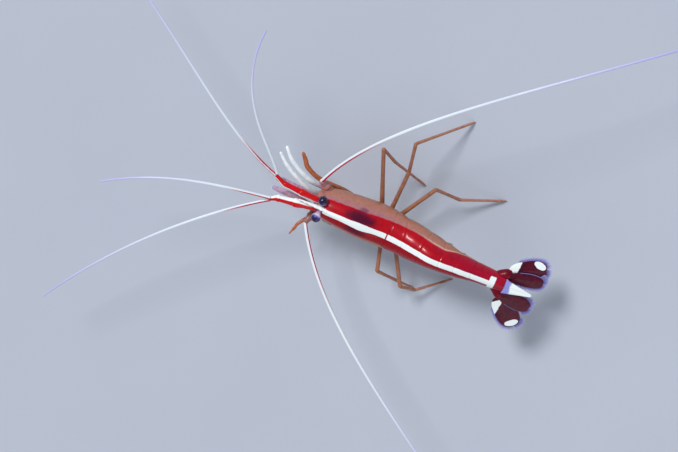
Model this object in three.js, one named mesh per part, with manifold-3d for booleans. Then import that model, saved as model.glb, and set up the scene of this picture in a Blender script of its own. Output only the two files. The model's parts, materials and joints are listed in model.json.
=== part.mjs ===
// A life-size model of a cleaner shrimp, Lysmata amboinensis, standing on its walking legs.
//
// Units are millimetres. While it is modelled the head points to -X, the animal's right side to +Y
// and the floor is z = 0; x = 0 is the rear edge of the carapace. At the end the whole group is
// moved so that the origin lies under the middle of its bounding box.

import * as THREE from "three";
import { mergeVertices } from "three/addons/utils/BufferGeometryUtils.js";
import Module from "manifold-3d";

const wasm = await Module();
wasm.setup();

// ---------------------------------------------------------------------------------------------
// Driving dimensions
// ---------------------------------------------------------------------------------------------

const GAP = 0.1; // clear space between neighbouring pieces
const BLADE = 0.5; // thickness of fin blades and antennal scales
const RIGHT = 1;
const LEFT = -1;
const SIDES = [["right", RIGHT], ["left", LEFT]];

// The trunk, carapace and abdomen together, as cross-sections from head to tail:
// x, half width, top, level where it is widest, bottom.
const TRUNK = [
  [-17.0, 2.9, 17.4, 13.9, 10.6],
  [-14.0, 3.7, 18.2, 13.7, 9.6],
  [-7.0, 4.4, 18.4, 13.4, 8.7],
  [-1.5, 4.6, 17.4, 12.9, 8.7],
  [2.5, 4.2, 17.6, 13.5, 9.3],
  [6.5, 4.0, 18.6, 14.2, 9.8],
  [11.2, 3.4, 19.7, 14.7, 10.6],
  [17.0, 2.75, 18.7, 15.5, 12.6],
  [22.5, 2.15, 17.4, 14.9, 12.8],
  [28.4, 1.9, 16.5, 14.7, 13.2],
];
const UPPER_ROUNDNESS = 2.0; // exponent of the section's upper half, 2 for an ellipse
const LOWER_ROUNDNESS = 2.6; // fuller below, where the side plates hang
const TRUNK_FACETS = 20;

const CARAPACE = { front: -15.3, cheek: 1.6, rear: 0, rings: 10 };

// Rear edge of each abdominal segment: on the back, and how much further back on the flank.
const SEGMENTS = [
  { rear: 3.6, flank: -0.9, lobe: 0.35 },
  { rear: 7.8, flank: 1.0, lobe: 0.55 },
  { rear: 12.7, flank: -0.2, lobe: 0.5 },
  { rear: 16.3, flank: 0.5, lobe: 0.4 },
  { rear: 20.3, flank: 0.5, lobe: 0.35 },
  { rear: 28.2, flank: 0, lobe: 0.1 },
];
const SEGMENT_RINGS = 4;
const SEGMENT_FLARE = 0.12; // how far a rear edge stands above the segment behind it
const BELLY_CHANNEL = { width: 0.92, depth: 1.3, from: 0.5, to: 21 }; // width as a share of the trunk's

const THORAX = { front: -13.6, rear: 1.6, halfWidth: 2.3, top: 10.2, bottom: 7.6, rings: 6 };
const FACE = { front: -17.6, rear: -13.5, halfWidth: 2.3, top: 16.7, bottom: 11.2 };
const MOUTH = { at: [-14.9, 0, 10.0], size: [2.4, 1.7, 1.3] };

const ROSTRUM = { base: -14.6, tip: -21.4, level: 18.0, depth: 1.1, teeth: 5, tooth: 0.38, thickness: 0.6 };

const EYE = { at: [-16.15, 2.3, 18.2], radius: 1.12 };
const EYESTALK = { root: [-15.9, 0.7, 16.6], radii: [0.6, 0.7, 0.8] };

// Feelers grow from a base. Their heading, seen from above in degrees from +X, settles quickly
// near the base and then curls evenly; their pitch changes evenly from the base to the tip.
const FEELER_SETTLING = 4;
const FEELER_FACETS = 6;
const ANTENNULE_FEELERS = [
  {
    name: "antennule_long_right",
    base: [-28.0, 2.9, 17.5],
    heading: 156, settle: -25, curl: 20, pitch: 14, droop: -24, length: 62, steps: 18,
  },
  {
    name: "antennule_short_right",
    base: [-27.9, 3.6, 17.9],
    heading: 118.5, settle: 41, curl: -76.5, pitch: 22, droop: -26, length: 36, steps: 16,
  },
  {
    name: "antennule_short_left",
    base: [-27.3, -2.6, 17.9],
    heading: 183.5, settle: -10, curl: 44, pitch: 16, droop: -20, length: 39, steps: 16,
  },
  {
    name: "antennule_long_left",
    base: [-27.2, -3.3, 17.3],
    heading: 215.5, settle: 3.5, curl: 23, pitch: 4, droop: -12, length: 64, steps: 18,
  },
];
const ANTENNULE_FEELER_RADII = [0.36, 0.25];
const ANTENNAE = [
  {
    name: "antenna_right",
    base: [-18.2, 5.0, 15.0],
    heading: 73, settle: -28, curl: -9.5, pitch: 22, droop: -44, length: 100, steps: 26,
  },
  {
    name: "antenna_left",
    base: [-18.0, -5.9, 15.0],
    heading: -59.5, settle: 35.5, curl: -18, pitch: 14, droop: -24, length: 100, steps: 26,
  },
];
const ANTENNA_RADII = [0.42, 0.25];

// Jointed stalks are given by their joints; each joint is a place and the stalk's radius there.
const ANTENNULE_STALKS = {
  antennule_right: [
    [-16.9, 0.95, 16.4, 0.8],
    [-21.6, 1.42, 17.2, 0.84],
    [-25.6, 1.7, 17.3, 0.66],
    [-28.0, 2.9, 17.5, 0.44],
  ],
  antennule_left: [
    [-16.9, -1.0, 16.4, 0.8],
    [-22.0, -1.52, 17.2, 0.98],
    [-25.8, -2.15, 17.3, 0.78],
    [-27.3, -3.0, 17.5, 0.48],
  ],
};
const ANTENNA_STALKS = {
  antenna_base_right: [[-15.6, 2.8, 13.0, 1.0], [-17.3, 3.9, 13.6, 1.1], [-18.2, 5.0, 15.0, 0.6]],
  antenna_base_left: [[-15.6, -2.8, 13.0, 1.0], [-17.3, -4.2, 13.6, 1.1], [-18.0, -5.9, 15.0, 0.6]],
};
const ANTENNA_SCALE = { root: [-17.6, 1.05, 15.4], length: 10.6, width: 1.9, heading: 179, dip: 2, cant: 4 };

const MAXILLIPEDS = {
  maxilliped_right: [
    [-13.6, 1.1, 9.4, 0.6],
    [-17.4, 2.0, 11.0, 0.55],
    [-21.0, 3.6, 14.0, 0.5],
    [-25.6, 6.7, 15.7, 0.42],
    [-28.1, 9.4, 16.0, 0.3],
  ],
  maxilliped_left: [
    [-13.6, -1.1, 9.4, 0.6],
    [-17.4, 0.0, 10.9, 0.55],
    [-21.0, 1.6, 13.9, 0.5],
    [-26.0, 4.9, 15.6, 0.42],
    [-28.9, 7.5, 16.0, 0.3],
  ],
};

const CLAW_LEGS = {
  leg_1_right: [
    [-9.5, 1.6, 8.3, 0.6],
    [-13.0, 2.7, 9.3, 0.5],
    [-18.9, 3.7, 11.4, 0.48],
    [-22.5, 5.4, 12.2, 0.45],
    [-23.5, 6.9, 12.5, 0.45],
  ],
  leg_1_left: [
    [-9.5, -1.6, 8.3, 0.6],
    [-12.5, -4.0, 9.0, 0.5],
    [-17.2, -6.0, 10.4, 0.48],
    [-19.4, -8.5, 11.6, 0.42],
    [-19.75, -9.54, 11.94, 0.4],
  ],
  leg_2_right: [
    [-7.2, 1.6, 8.3, 0.55],
    [-10.4, 1.2, 6.8, 0.45],
    [-14.4, 0.4, 6.2, 0.4],
    [-16.4, -0.4, 7.0, 0.4],
  ],
  leg_2_left: [
    [-7.2, -1.6, 8.3, 0.55],
    [-10.8, -2.9, 6.4, 0.45],
    [-14.8, -4.8, 5.2, 0.4],
    [-16.0, -4.8, 1.7, 0.4],
  ],
};
const CLAW = { length: 2.0, palm: 0.5, spread: 15, tip: 0.16 };

const WALKING_LEGS = {
  leg_3_right: [
    [-3.3, 1.6, 8.4, 0.65],
    [-8.6, 16.8, 12.0, 0.45],
    [-5.0, 13.6, 8.4, 0.4],
    [3.8, 7.9, 0, 0.27],
  ],
  leg_4_right: [
    [-1.4, 1.6, 8.4, 0.65],
    [-1.3, 13.3, 10.0, 0.47],
    [-2.6, 21.0, 12.0, 0.42],
    [7.9, 27.0, 0, 0.27],
  ],
  leg_5_right: [
    [0.6, 1.6, 8.4, 0.65],
    [5.8, 12.2, 10.0, 0.45],
    [11.9, 10.2, 5.0, 0.4],
    [22.1, 12.6, 0, 0.27],
  ],
  leg_3_left: [
    [-4.4, -1.6, 8.4, 0.6],
    [-12.8, -6.3, 9.2, 0.45],
    [-14.6, -8.2, 4.8, 0.4],
    [-9.2, -10.0, 0, 0.27],
  ],
  leg_4_left: [
    [-1.6, -1.6, 8.4, 0.65],
    [1.5, -12.2, 10.0, 0.45],
    [7.5, -15.1, 4.4, 0.4],
    [11.5, -17.2, 0, 0.27],
  ],
  leg_5_left: [
    [0.8, -1.6, 8.4, 0.65],
    [7.9, -14.5, 7.8, 0.45],
    [11.6, -15.6, 4.0, 0.4],
    [18.8, -10.9, 0, 0.27],
  ],
};
const LEG_FACETS = 6;
const JOINT_ROUNDING = 0.9; // length over which a stalk turns at a joint
const SHARPEST_TURN = 110; // degrees; a limb that folds back further is made in two lengths

const SWIMMERETS = {
  first: 2.6,
  pitch: 4.0,
  length: 5.4,
  shortening: 0.4,
  lean: 66,
  width: 0.95,
  depth: 0.35,
};

const TAIL_STALKS = {
  tail_base_right: [
    [25.6, 1.2, 14.1, 0.7],
    [27.0, 2.3, 14.2, 1.0],
    [28.2, 3.3, 14.3, 0.9],
    [28.7, 3.7, 14.3, 0.5],
  ],
  tail_base_left: [
    [25.6, -1.2, 14.1, 0.7],
    [27.0, -2.6, 14.2, 1.0],
    [28.1, -3.9, 14.3, 0.9],
    [28.5, -4.4, 14.3, 0.5],
  ],
};
const TAIL_BLADES = {
  tail_outer_right: { root: [28.1, 3.5, 14.2], length: 9.4, width: 4.6, heading: 25, dip: 12, cant: 0 },
  tail_outer_left: { root: [28.1, -4.6, 14.2], length: 9.8, width: 4.8, heading: -42.5, dip: 13, cant: 0 },
  tail_inner_right: { root: [28.8, 2.5, 15.0], length: 8.2, width: 3.3, heading: 7, dip: 14, cant: 0 },
  tail_inner_left: { root: [29.0, -3.2, 15.0], length: 7.8, width: 3.3, heading: -5, dip: 14, cant: 0 },
};
const TELSON = {
  root: [28.3, 0, 15.75],
  length: 6.9,
  heading: 2.4,
  dip: 8,
  halfWidth: 1.7,
  tipWidth: 0.5,
  depth: 0.9,
};

// ---------------------------------------------------------------------------------------------
// Finishes
// ---------------------------------------------------------------------------------------------

const finish = (color, roughness) => new THREE.MeshStandardMaterial({ color, roughness, metalness: 0 });
const FINISHES = {
  shell: () => finish(0xb01024, 0.3),
  flesh: () => finish(0xc89070, 0.5),
  feeler: () => finish(0xf2f4f8, 0.45),
  eye: () => finish(0x141030, 0.12),
  leg: () => finish(0xa8744e, 0.4),
  fin: () => finish(0x8a0f20, 0.35),
  scale: () => finish(0xc9b6e0, 0.3),
};

// ---------------------------------------------------------------------------------------------
// Shape tools
// ---------------------------------------------------------------------------------------------

const vector = ([x, y, z]) => new THREE.Vector3(x, y, z);
const mirrored = ([x, y, z], side) => [x, y * side, z];

/** A signed power, which squares off a circle into a fuller section. */
const fuller = (value, exponent) => Math.sign(value) * Math.abs(value) ** (2 / exponent);

/** Merges a geometry down to its shared positions. */
function welded(geometry) {
  geometry.deleteAttribute("normal");
  geometry.deleteAttribute("uv");
  return mergeVertices(geometry, 1e-4);
}

/** A closed solid of rings: a cylinder whose vertices are moved by place(along, angle, across). */
function ringed(rings, facets, place) {
  const geometry = new THREE.CylinderGeometry(1, 1, 1, facets, rings);
  const position = geometry.getAttribute("position");
  for (let i = 0; i < position.count; i += 1) {
    const along = 0.5 - position.getY(i);
    const across = Math.hypot(position.getX(i), position.getZ(i));
    const angle = Math.atan2(position.getZ(i), position.getX(i));
    const placed = place(along, angle, across);
    position.setXYZ(i, placed.x, placed.y, placed.z);
  }
  return welded(geometry);
}

/** A round stalk along points, with a radius at each. */
function stalk(points, radii, facets) {
  const last = points.length - 1;
  const tangents = points.map((_, i) =>
    new THREE.Vector3()
      .subVectors(points[Math.min(i + 1, last)], points[Math.max(i - 1, 0)])
      .normalize()
  );
  const across = [new THREE.Vector3(0, 0, 1).cross(tangents[0]).normalize()];
  for (let i = 1; i <= last; i += 1) {
    const turn = new THREE.Quaternion().setFromUnitVectors(tangents[i - 1], tangents[i]);
    across.push(across[i - 1].clone().applyQuaternion(turn));
  }
  return ringed(last, facets, (along, angle, reach) => {
    const i = Math.round(along * last);
    const up = new THREE.Vector3().crossVectors(tangents[i], across[i]);
    return points[i]
      .clone()
      .addScaledVector(across[i], radii[i] * reach * Math.cos(angle))
      .addScaledVector(up, radii[i] * reach * Math.sin(angle));
  });
}

/** A jointed stalk: straight lengths with a short rounded turn, slightly swollen, at each joint. */
function jointed(joints, facets, grow = 0) {
  const points = [];
  const radii = [];
  const push = (point, radius) => {
    points.push(point);
    radii.push(radius + grow);
  };
  joints.forEach((joint, i) => {
    const here = vector(joint);
    const radius = joint[3];
    if (i === 0 || i === joints.length - 1) {
      push(here, radius);
      return;
    }
    const before = vector(joints[i - 1]).sub(here);
    const after = vector(joints[i + 1]).sub(here);
    const start = here.clone().addScaledVector(before.normalize(), JOINT_ROUNDING);
    const end = here.clone().addScaledVector(after.normalize(), JOINT_ROUNDING);
    const turn = new THREE.QuadraticBezierCurve3(start, here, end);
    push(turn.getPoint(0), radius * 0.92);
    push(turn.getPoint(0.5), radius * 1.1);
    push(turn.getPoint(1), radius * 0.92);
  });
  return stalk(points, radii, facets);
}

/** A limb: one jointed stalk, or two that meet in a ball where it folds back sharply. */
function limb(joints, facets) {
  const turn = (i) => {
    const before = vector(joints[i]).sub(vector(joints[i - 1]));
    const after = vector(joints[i + 1]).sub(vector(joints[i]));
    return THREE.MathUtils.radToDeg(before.angleTo(after));
  };
  const fold = joints.findIndex((_, i) => i > 0 && i < joints.length - 1 && turn(i) > SHARPEST_TURN);
  if (fold < 0) {
    return jointed(joints, facets);
  }
  const radius = joints[fold][3] * 1.1;
  const knee = ellipsoid(joints[fold].slice(0, 3), [radius, radius, radius], 10);
  const upper = jointed(joints.slice(0, fold + 1), facets);
  const lower = jointed(joints.slice(fold), facets);
  return joined(upper, knee, lower);
}

/** The points of a feeler, from its base to its tip. */
function feelerPoints({ base, heading, settle, curl, pitch, droop, length, steps }) {
  const points = [vector(base)];
  for (let i = 0; i < steps; i += 1) {
    const s = (i + 0.5) / steps;
    const turn = heading + settle * (1 - (1 - s) ** FEELER_SETTLING) + curl * s;
    const rise = THREE.MathUtils.degToRad(pitch + droop * s);
    const bearing = THREE.MathUtils.degToRad(turn);
    const step = new THREE.Vector3(
      Math.cos(rise) * Math.cos(bearing),
      Math.cos(rise) * Math.sin(bearing),
      Math.sin(rise)
    );
    points.push(points[i].clone().addScaledVector(step, length / steps));
  }
  return points;
}

/** A feeler tapered from its base to its tip. */
function feeler(shape, [baseRadius, tipRadius], grow = 0) {
  const points = feelerPoints(shape);
  const radii = points.map((_, i) => THREE.MathUtils.lerp(baseRadius, tipRadius, i / shape.steps) + grow);
  return stalk(points, radii, FEELER_FACETS);
}

/** A leaf-shaped blade along +X from the origin, wider towards its far end. */
function leaf(length, width, thickness) {
  const outline = new THREE.Shape();
  const count = 22;
  for (let i = 0; i < count; i += 1) {
    const angle = (2 * Math.PI * i) / count;
    const x = (length * (1 - Math.cos(angle))) / 2;
    const swell = 0.78 + (0.32 * x) / length;
    const y = (-width / 2) * fuller(Math.sin(angle), 2.9) * swell;
    if (i === 0) {
      outline.moveTo(x, y);
    } else {
      outline.lineTo(x, y);
    }
  }
  outline.closePath();
  const blade = new THREE.ExtrudeGeometry(outline, { depth: thickness, bevelEnabled: false });
  blade.translate(0, 0, -thickness / 2);
  return welded(blade);
}

/** A ball or ellipsoid. */
function ellipsoid(at, [rx, ry, rz], facets) {
  const ball = new THREE.SphereGeometry(1, facets, Math.round(facets * 0.6));
  ball.scale(rx, ry, rz);
  ball.translate(...at);
  return welded(ball);
}

/** A geometry as a manifold solid. */
function solid(geometry) {
  const vertProperties = new Float32Array(geometry.getAttribute("position").array);
  const triVerts = new Uint32Array(geometry.getIndex().array);
  return new wasm.Manifold(new wasm.Mesh({ numProp: 3, vertProperties, triVerts }));
}

/** A manifold solid as a geometry, keeping only its largest piece. */
function geometryOf(manifold) {
  const pieces = manifold.decompose();
  pieces.sort((a, b) => b.volume() - a.volume());
  const mesh = pieces[0].getMesh();
  const geometry = new THREE.BufferGeometry();
  geometry.setAttribute("position", new THREE.BufferAttribute(mesh.vertProperties, 3));
  geometry.setIndex(new THREE.BufferAttribute(mesh.triVerts, 1));
  return geometry;
}

/** A geometry with others cut away from it. */
function cut(geometry, ...others) {
  const left = others.reduce((rest, other) => rest.subtract(solid(other)), solid(geometry));
  return geometryOf(left);
}

/** Geometries joined into one. */
function joined(...geometries) {
  return geometryOf(geometries.map(solid).reduce((whole, next) => whole.add(next)));
}

// ---------------------------------------------------------------------------------------------
// Trunk
// ---------------------------------------------------------------------------------------------

const trunkSections = new THREE.CubicInterpolant(
  TRUNK.map((row) => row[0]),
  TRUNK.flatMap((row) => row.slice(1)),
  4
);

/** A point of the trunk's surface at x; angle 0 is the right flank and 90 degrees the back. */
function trunkPoint(x, angle, across, { grow = 0, lift = 0 } = {}) {
  const [halfWidth, top, middle, bottom] = trunkSections.evaluate(x);
  const upward = Math.sin(angle) > 0;
  const height = upward ? top - middle : middle - bottom;
  const exponent = upward ? UPPER_ROUNDNESS : LOWER_ROUNDNESS;
  const y = (halfWidth + grow) * fuller(Math.cos(angle), exponent);
  const z = (height + grow + (upward ? 0 : lift)) * fuller(Math.sin(angle), exponent);
  return new THREE.Vector3(x, y * across, middle + z * across);
}

/** How far a point lies down the flank: 0 on the back, 1 at the level where the trunk is widest. */
const flankness = (angle) => Math.min(1, 1 - Math.sin(angle));

/** The trunk's sternum, which carries the legs. */
function thoraxGeometry(grow) {
  const { front, rear, halfWidth, top, bottom, rings } = THORAX;
  return ringed(rings, 16, (along, angle, across) => {
    const x = THREE.MathUtils.lerp(front - grow, rear + grow, along);
    const fullness = Math.sin(Math.PI * (0.08 + 0.84 * along)) ** 0.5;
    const middle = (top + bottom) / 2;
    const y = (halfWidth * fullness + grow) * fuller(Math.cos(angle), 3);
    const z = ((top - bottom) / 2 + grow) * fuller(Math.sin(angle), 3);
    return new THREE.Vector3(x, y * across, middle + z * across);
  });
}

/** The carapace as a plain closed shell, before the thorax is let into it. */
function carapaceGeometry(grow) {
  const { front, cheek, rear, rings } = CARAPACE;
  return ringed(rings, TRUNK_FACETS, (along, angle, across) => {
    const frontEdge = front - cheek * flankness(angle) * across - grow;
    const x = THREE.MathUtils.lerp(frontEdge, rear + grow, along);
    return trunkPoint(x, angle, across, { grow });
  });
}

/** The edge between two abdominal segments at an angle round the trunk. */
const segmentEdge = (index, angle) =>
  index < 0 ? CARAPACE.rear : SEGMENTS[index].rear + SEGMENTS[index].flank * flankness(angle);

/** One abdominal segment, its side plates rounded below and its rear edge flared. */
function segmentGeometry(index, room = 0) {
  const { lobe } = SEGMENTS[index];
  return ringed(SEGMENT_RINGS, TRUNK_FACETS, (along, angle, across) => {
    const from = segmentEdge(index - 1, angle) + GAP - room;
    const x = THREE.MathUtils.lerp(from, segmentEdge(index, angle) + room, along);
    const grow = SEGMENT_FLARE * (along ** 3 - 0.5) + room;
    const lift = lobe * (Math.sin(Math.PI * along) ** 0.5 - 1);
    return trunkPoint(x, angle, across, { grow, lift });
  });
}

/** Half the width of the channel along the belly, which narrows with the trunk. */
const channelHalfWidth = (x) => (BELLY_CHANNEL.width * trunkSections.evaluate(x)[0]) / 2;

/** The channel along the belly between the side plates. */
function bellyChannel() {
  const { depth, from, to } = BELLY_CHANNEL;
  return ringed(10, 12, (along, angle, across) => {
    const x = THREE.MathUtils.lerp(from, to, along);
    const y = channelHalfWidth(x) * Math.cos(angle) * across;
    const bottom = trunkSections.evaluate(x)[3];
    return new THREE.Vector3(x, y, bottom + depth * Math.sin(angle) * across);
  });
}

/** The pointed blade between the eyes, with teeth along its upper edge. */
function rostrumGeometry() {
  const { base, tip, level, depth, teeth, tooth, thickness } = ROSTRUM;
  const side = new THREE.Shape();
  side.moveTo(base, level - depth);
  side.lineTo(base, level + 0.3);
  for (let i = 0; i < teeth; i += 1) {
    const from = THREE.MathUtils.lerp(base, tip, i / teeth);
    const to = THREE.MathUtils.lerp(base, tip, (i + 0.8) / teeth);
    const edge = level + 0.3 - (0.3 * i) / teeth;
    side.lineTo(from - 0.15, edge);
    side.lineTo(to, edge + tooth);
  }
  side.lineTo(tip, level);
  side.quadraticCurveTo((base + tip) / 2, level - depth * 1.15, base, level - depth);
  const blade = new THREE.ExtrudeGeometry(side, { depth: thickness, bevelEnabled: false, curveSegments: 6 });
  blade.translate(0, 0, -thickness / 2);
  blade.rotateX(Math.PI / 2);
  return welded(blade);
}

/** The front of the head under the rostrum, which carries eyes and feelers. */
function faceGeometry(grow) {
  const { front, rear, halfWidth, top, bottom } = FACE;
  return ringed(5, 16, (along, angle, across) => {
    const x = THREE.MathUtils.lerp(front - grow, rear, along);
    const fullness = 0.6 + 0.4 * Math.sin((Math.PI / 2) * Math.min(1, along * 1.6));
    const y = (halfWidth * fullness + grow) * fuller(Math.cos(angle), 2.4);
    const z = (((top - bottom) / 2) * fullness + grow) * fuller(Math.sin(angle), 2.4);
    return new THREE.Vector3(x, y * across, (top + bottom) / 2 + z * across);
  });
}

// ---------------------------------------------------------------------------------------------
// Limbs and fins
// ---------------------------------------------------------------------------------------------

/** A leg's pincer at the end of its last length: a palm and two slightly spread fingers. */
function pincer(joints) {
  const end = vector(joints.at(-1));
  const direction = end.clone().sub(vector(joints.at(-2))).normalize();
  const upright = new THREE.Vector3(0, 0, 1);
  const hinge = new THREE.Vector3().crossVectors(direction, upright).normalize();
  const palmEnd = end.clone().addScaledVector(direction, CLAW.length * 0.45);
  const palm = stalk(
    [end.clone().addScaledVector(direction, -0.4), end, palmEnd],
    [joints.at(-1)[3] * 0.8, CLAW.palm, CLAW.palm * 0.85],
    LEG_FACETS
  );
  const fingers = [RIGHT, LEFT].map((side) => {
    const spread = THREE.MathUtils.degToRad(side * CLAW.spread);
    const along = direction.clone().applyAxisAngle(hinge, spread);
    const root = palmEnd.clone().addScaledVector(direction, -0.3).addScaledVector(along, 0.05);
    const tip = palmEnd.clone().addScaledVector(along, CLAW.length * 0.55);
    return stalk([root, tip], [CLAW.palm * 0.55, CLAW.tip], 5);
  });
  return joined(palm, ...fingers);
}

/** Everything below the floor's level, to cut feet flat. */
function underFloor() {
  const slab = new THREE.BoxGeometry(120, 120, 4);
  slab.translate(0, 0, -2);
  return welded(slab);
}

/** One swimming limb, a blade that hangs from the belly and leans back. */
function swimmeretGeometry(index, side) {
  const x = SWIMMERETS.first + SWIMMERETS.pitch * index;
  const bottom = trunkSections.evaluate(x)[3];
  const length = SWIMMERETS.length - SWIMMERETS.shortening * index;
  const lean = THREE.MathUtils.degToRad(SWIMMERETS.lean);
  const blade = ringed(6, 8, (along, angle, across) => {
    const width = SWIMMERETS.width * (0.6 + 0.5 * Math.sin(Math.PI * Math.min(1, along * 1.15)));
    const taper = along > 0.85 ? 0.65 : 1;
    const forth = width * taper * Math.sin(angle) * across;
    const thick = (BLADE / 2) * Math.cos(angle) * across;
    return new THREE.Vector3(forth, thick, -along * length);
  });
  blade.rotateY(-lean);
  blade.translate(x, side * 0.6 * channelHalfWidth(x), bottom + SWIMMERETS.depth);
  return blade;
}

/** Turns a blade that lies along +X to its cant, dip and heading, and moves it to its root. */
function placed(blade, { root, heading, dip, cant = 0 }) {
  blade.rotateX(THREE.MathUtils.degToRad(cant));
  blade.rotateY(THREE.MathUtils.degToRad(dip));
  blade.rotateZ(THREE.MathUtils.degToRad(heading));
  blade.translate(...root);
  return blade;
}

/** A tail or antenna blade, grown all round by some clearance. */
function bladeGeometry(shape, grow = 0) {
  const blade = leaf(shape.length + 2 * grow, shape.width + 2 * grow, BLADE + 2 * grow);
  blade.translate(-grow, 0, 0);
  return placed(blade, shape);
}

/** The tail's middle blade: an oval section that tapers to a blunt tip. */
function telsonGeometry() {
  const { length, halfWidth, tipWidth, depth } = TELSON;
  const blade = ringed(6, 12, (along, angle, across) => {
    const width = THREE.MathUtils.lerp(halfWidth, tipWidth, along ** 1.2);
    const thickness = (depth / 2) * (1 - 0.35 * along);
    const y = width * fuller(Math.cos(angle), 2.4);
    const z = thickness * fuller(Math.sin(angle), 2.4);
    return new THREE.Vector3(length * along, y * across, z * across);
  });
  return placed(blade, TELSON);
}

// ---------------------------------------------------------------------------------------------
// Assembly
// ---------------------------------------------------------------------------------------------

const shrimp = new THREE.Group();

function addNode(name, geometry, material) {
  const mesh = new THREE.Mesh(geometry, material);
  mesh.name = name;
  shrimp.add(mesh);
}

const carapaceRoom = carapaceGeometry(GAP);
const thoraxRoom = thoraxGeometry(GAP);
const faceRoom = faceGeometry(GAP);

const carapace = cut(carapaceGeometry(0), thoraxRoom);
addNode("carapace", carapace, FINISHES.shell());
addNode("thorax", thoraxGeometry(0), FINISHES.flesh());
addNode("face", cut(faceGeometry(0), carapaceRoom), FINISHES.flesh());
addNode("rostrum", cut(rostrumGeometry(), carapaceRoom, faceRoom), FINISHES.shell());
const palpRooms = Object.values(MAXILLIPEDS).map((joints) => jointed(joints, LEG_FACETS, GAP));
const mouth = cut(ellipsoid(MOUTH.at, MOUTH.size, 12), carapaceRoom, faceRoom, thoraxRoom, ...palpRooms);
addNode("mouthparts", mouth, FINISHES.flesh());

const channel = bellyChannel();
SEGMENTS.forEach((_, index) => {
  const plain = segmentGeometry(index);
  const geometry = cut(plain, channel, thoraxRoom);
  addNode(`abdomen_${index + 1}`, geometry, FINISHES.shell());
});

const TRUNK_ROOM = [carapaceRoom, faceRoom, thoraxRoom];

for (const [label, side] of SIDES) {
  const centre = mirrored(EYE.at, side);
  const eyeRoom = ellipsoid(centre, [EYE.radius + GAP, EYE.radius + GAP, EYE.radius + GAP], 14);
  const root = vector(mirrored(EYESTALK.root, side));
  const middle = root.clone().lerp(vector(centre), 0.5);
  const stem = stalk([root, middle, vector(centre)], EYESTALK.radii, 8);
  addNode(`eye_${label}`, ellipsoid(centre, [EYE.radius, EYE.radius, EYE.radius], 14), FINISHES.eye());
  addNode(`eyestalk_${label}`, cut(stem, eyeRoom, ...TRUNK_ROOM), FINISHES.flesh());
}

const antennuleRooms = ANTENNULE_FEELERS.map((shape) => feeler(shape, ANTENNULE_FEELER_RADII, GAP));
for (const [name, joints] of Object.entries(ANTENNULE_STALKS)) {
  addNode(name, cut(jointed(joints, 8), ...TRUNK_ROOM, ...antennuleRooms), FINISHES.shell());
}
for (const shape of ANTENNULE_FEELERS) {
  addNode(shape.name, feeler(shape, ANTENNULE_FEELER_RADII), FINISHES.feeler());
}
const antennaRooms = ANTENNAE.map((shape) => feeler(shape, ANTENNA_RADII, GAP));
for (const [name, joints] of Object.entries(ANTENNA_STALKS)) {
  addNode(name, cut(jointed(joints, 8), ...TRUNK_ROOM, ...antennaRooms), FINISHES.flesh());
}
for (const shape of ANTENNAE) {
  addNode(shape.name, feeler(shape, ANTENNA_RADII), FINISHES.feeler());
}
for (const [label, side] of SIDES) {
  const { root, heading, cant, ...rest } = ANTENNA_SCALE;
  const shape = { ...rest, root: mirrored(root, side), heading: heading * side, cant: cant * side };
  addNode(`antenna_scale_${label}`, bladeGeometry(shape), FINISHES.scale());
}
for (const [name, joints] of Object.entries(MAXILLIPEDS)) {
  addNode(name, cut(jointed(joints, LEG_FACETS), ...TRUNK_ROOM), FINISHES.feeler());
}

for (const [name, joints] of Object.entries(CLAW_LEGS)) {
  const clawed = joined(limb(joints, LEG_FACETS), pincer(joints));
  addNode(name, cut(clawed, ...TRUNK_ROOM, underFloor()), FINISHES.leg());
}
for (const [name, joints] of Object.entries(WALKING_LEGS)) {
  addNode(name, cut(limb(joints, LEG_FACETS), ...TRUNK_ROOM, underFloor()), FINISHES.leg());
}

for (let index = 0; index < SEGMENTS.length - 1; index += 1) {
  for (const [label, side] of SIDES) {
    addNode(`swimmeret_${index + 1}_${label}`, swimmeretGeometry(index, side), FINISHES.fin());
  }
}

addNode("telson", telsonGeometry(), FINISHES.fin());
for (const [name, shape] of Object.entries(TAIL_BLADES)) {
  addNode(name, bladeGeometry(shape), FINISHES.fin());
}
const TAIL_ROOM = Object.values(TAIL_BLADES).map((shape) => bladeGeometry(shape, GAP));
for (const [name, rings] of Object.entries(TAIL_STALKS)) {
  const radii = rings.map((ring) => ring[3]);
  const knuckle = stalk(rings.map(vector), radii, 10);
  addNode(name, cut(knuckle, segmentGeometry(SEGMENTS.length - 1, GAP), ...TAIL_ROOM), FINISHES.shell());
}

const bounds = new THREE.Box3().setFromObject(shrimp);
const middle = bounds.getCenter(new THREE.Vector3());
shrimp.position.set(-middle.x, -middle.y, -bounds.min.z);

export default shrimp;
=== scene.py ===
"""A life-size cleaner shrimp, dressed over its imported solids.

Every size below is in millimetres, in the animal's own frame: the head points to -X, its right side
to +Y, the floor is at z = 0, and x = 0 is the rear edge of the carapace. Pieces are made in metres,
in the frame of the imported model, with their place in their mesh.

A joint is a place and the radius there. A placing gives a vertex's place from the number of its
ring, its angle round that ring, and 1 on the surface or 0 in the middle of an end.
"""

import json
import logging
import math
from dataclasses import dataclass, field
from enum import Enum
from typing import Callable, ClassVar, Iterable, Sequence

import bmesh
import bpy
import numpy as np
from mathutils import Matrix, Quaternion, Vector

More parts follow.
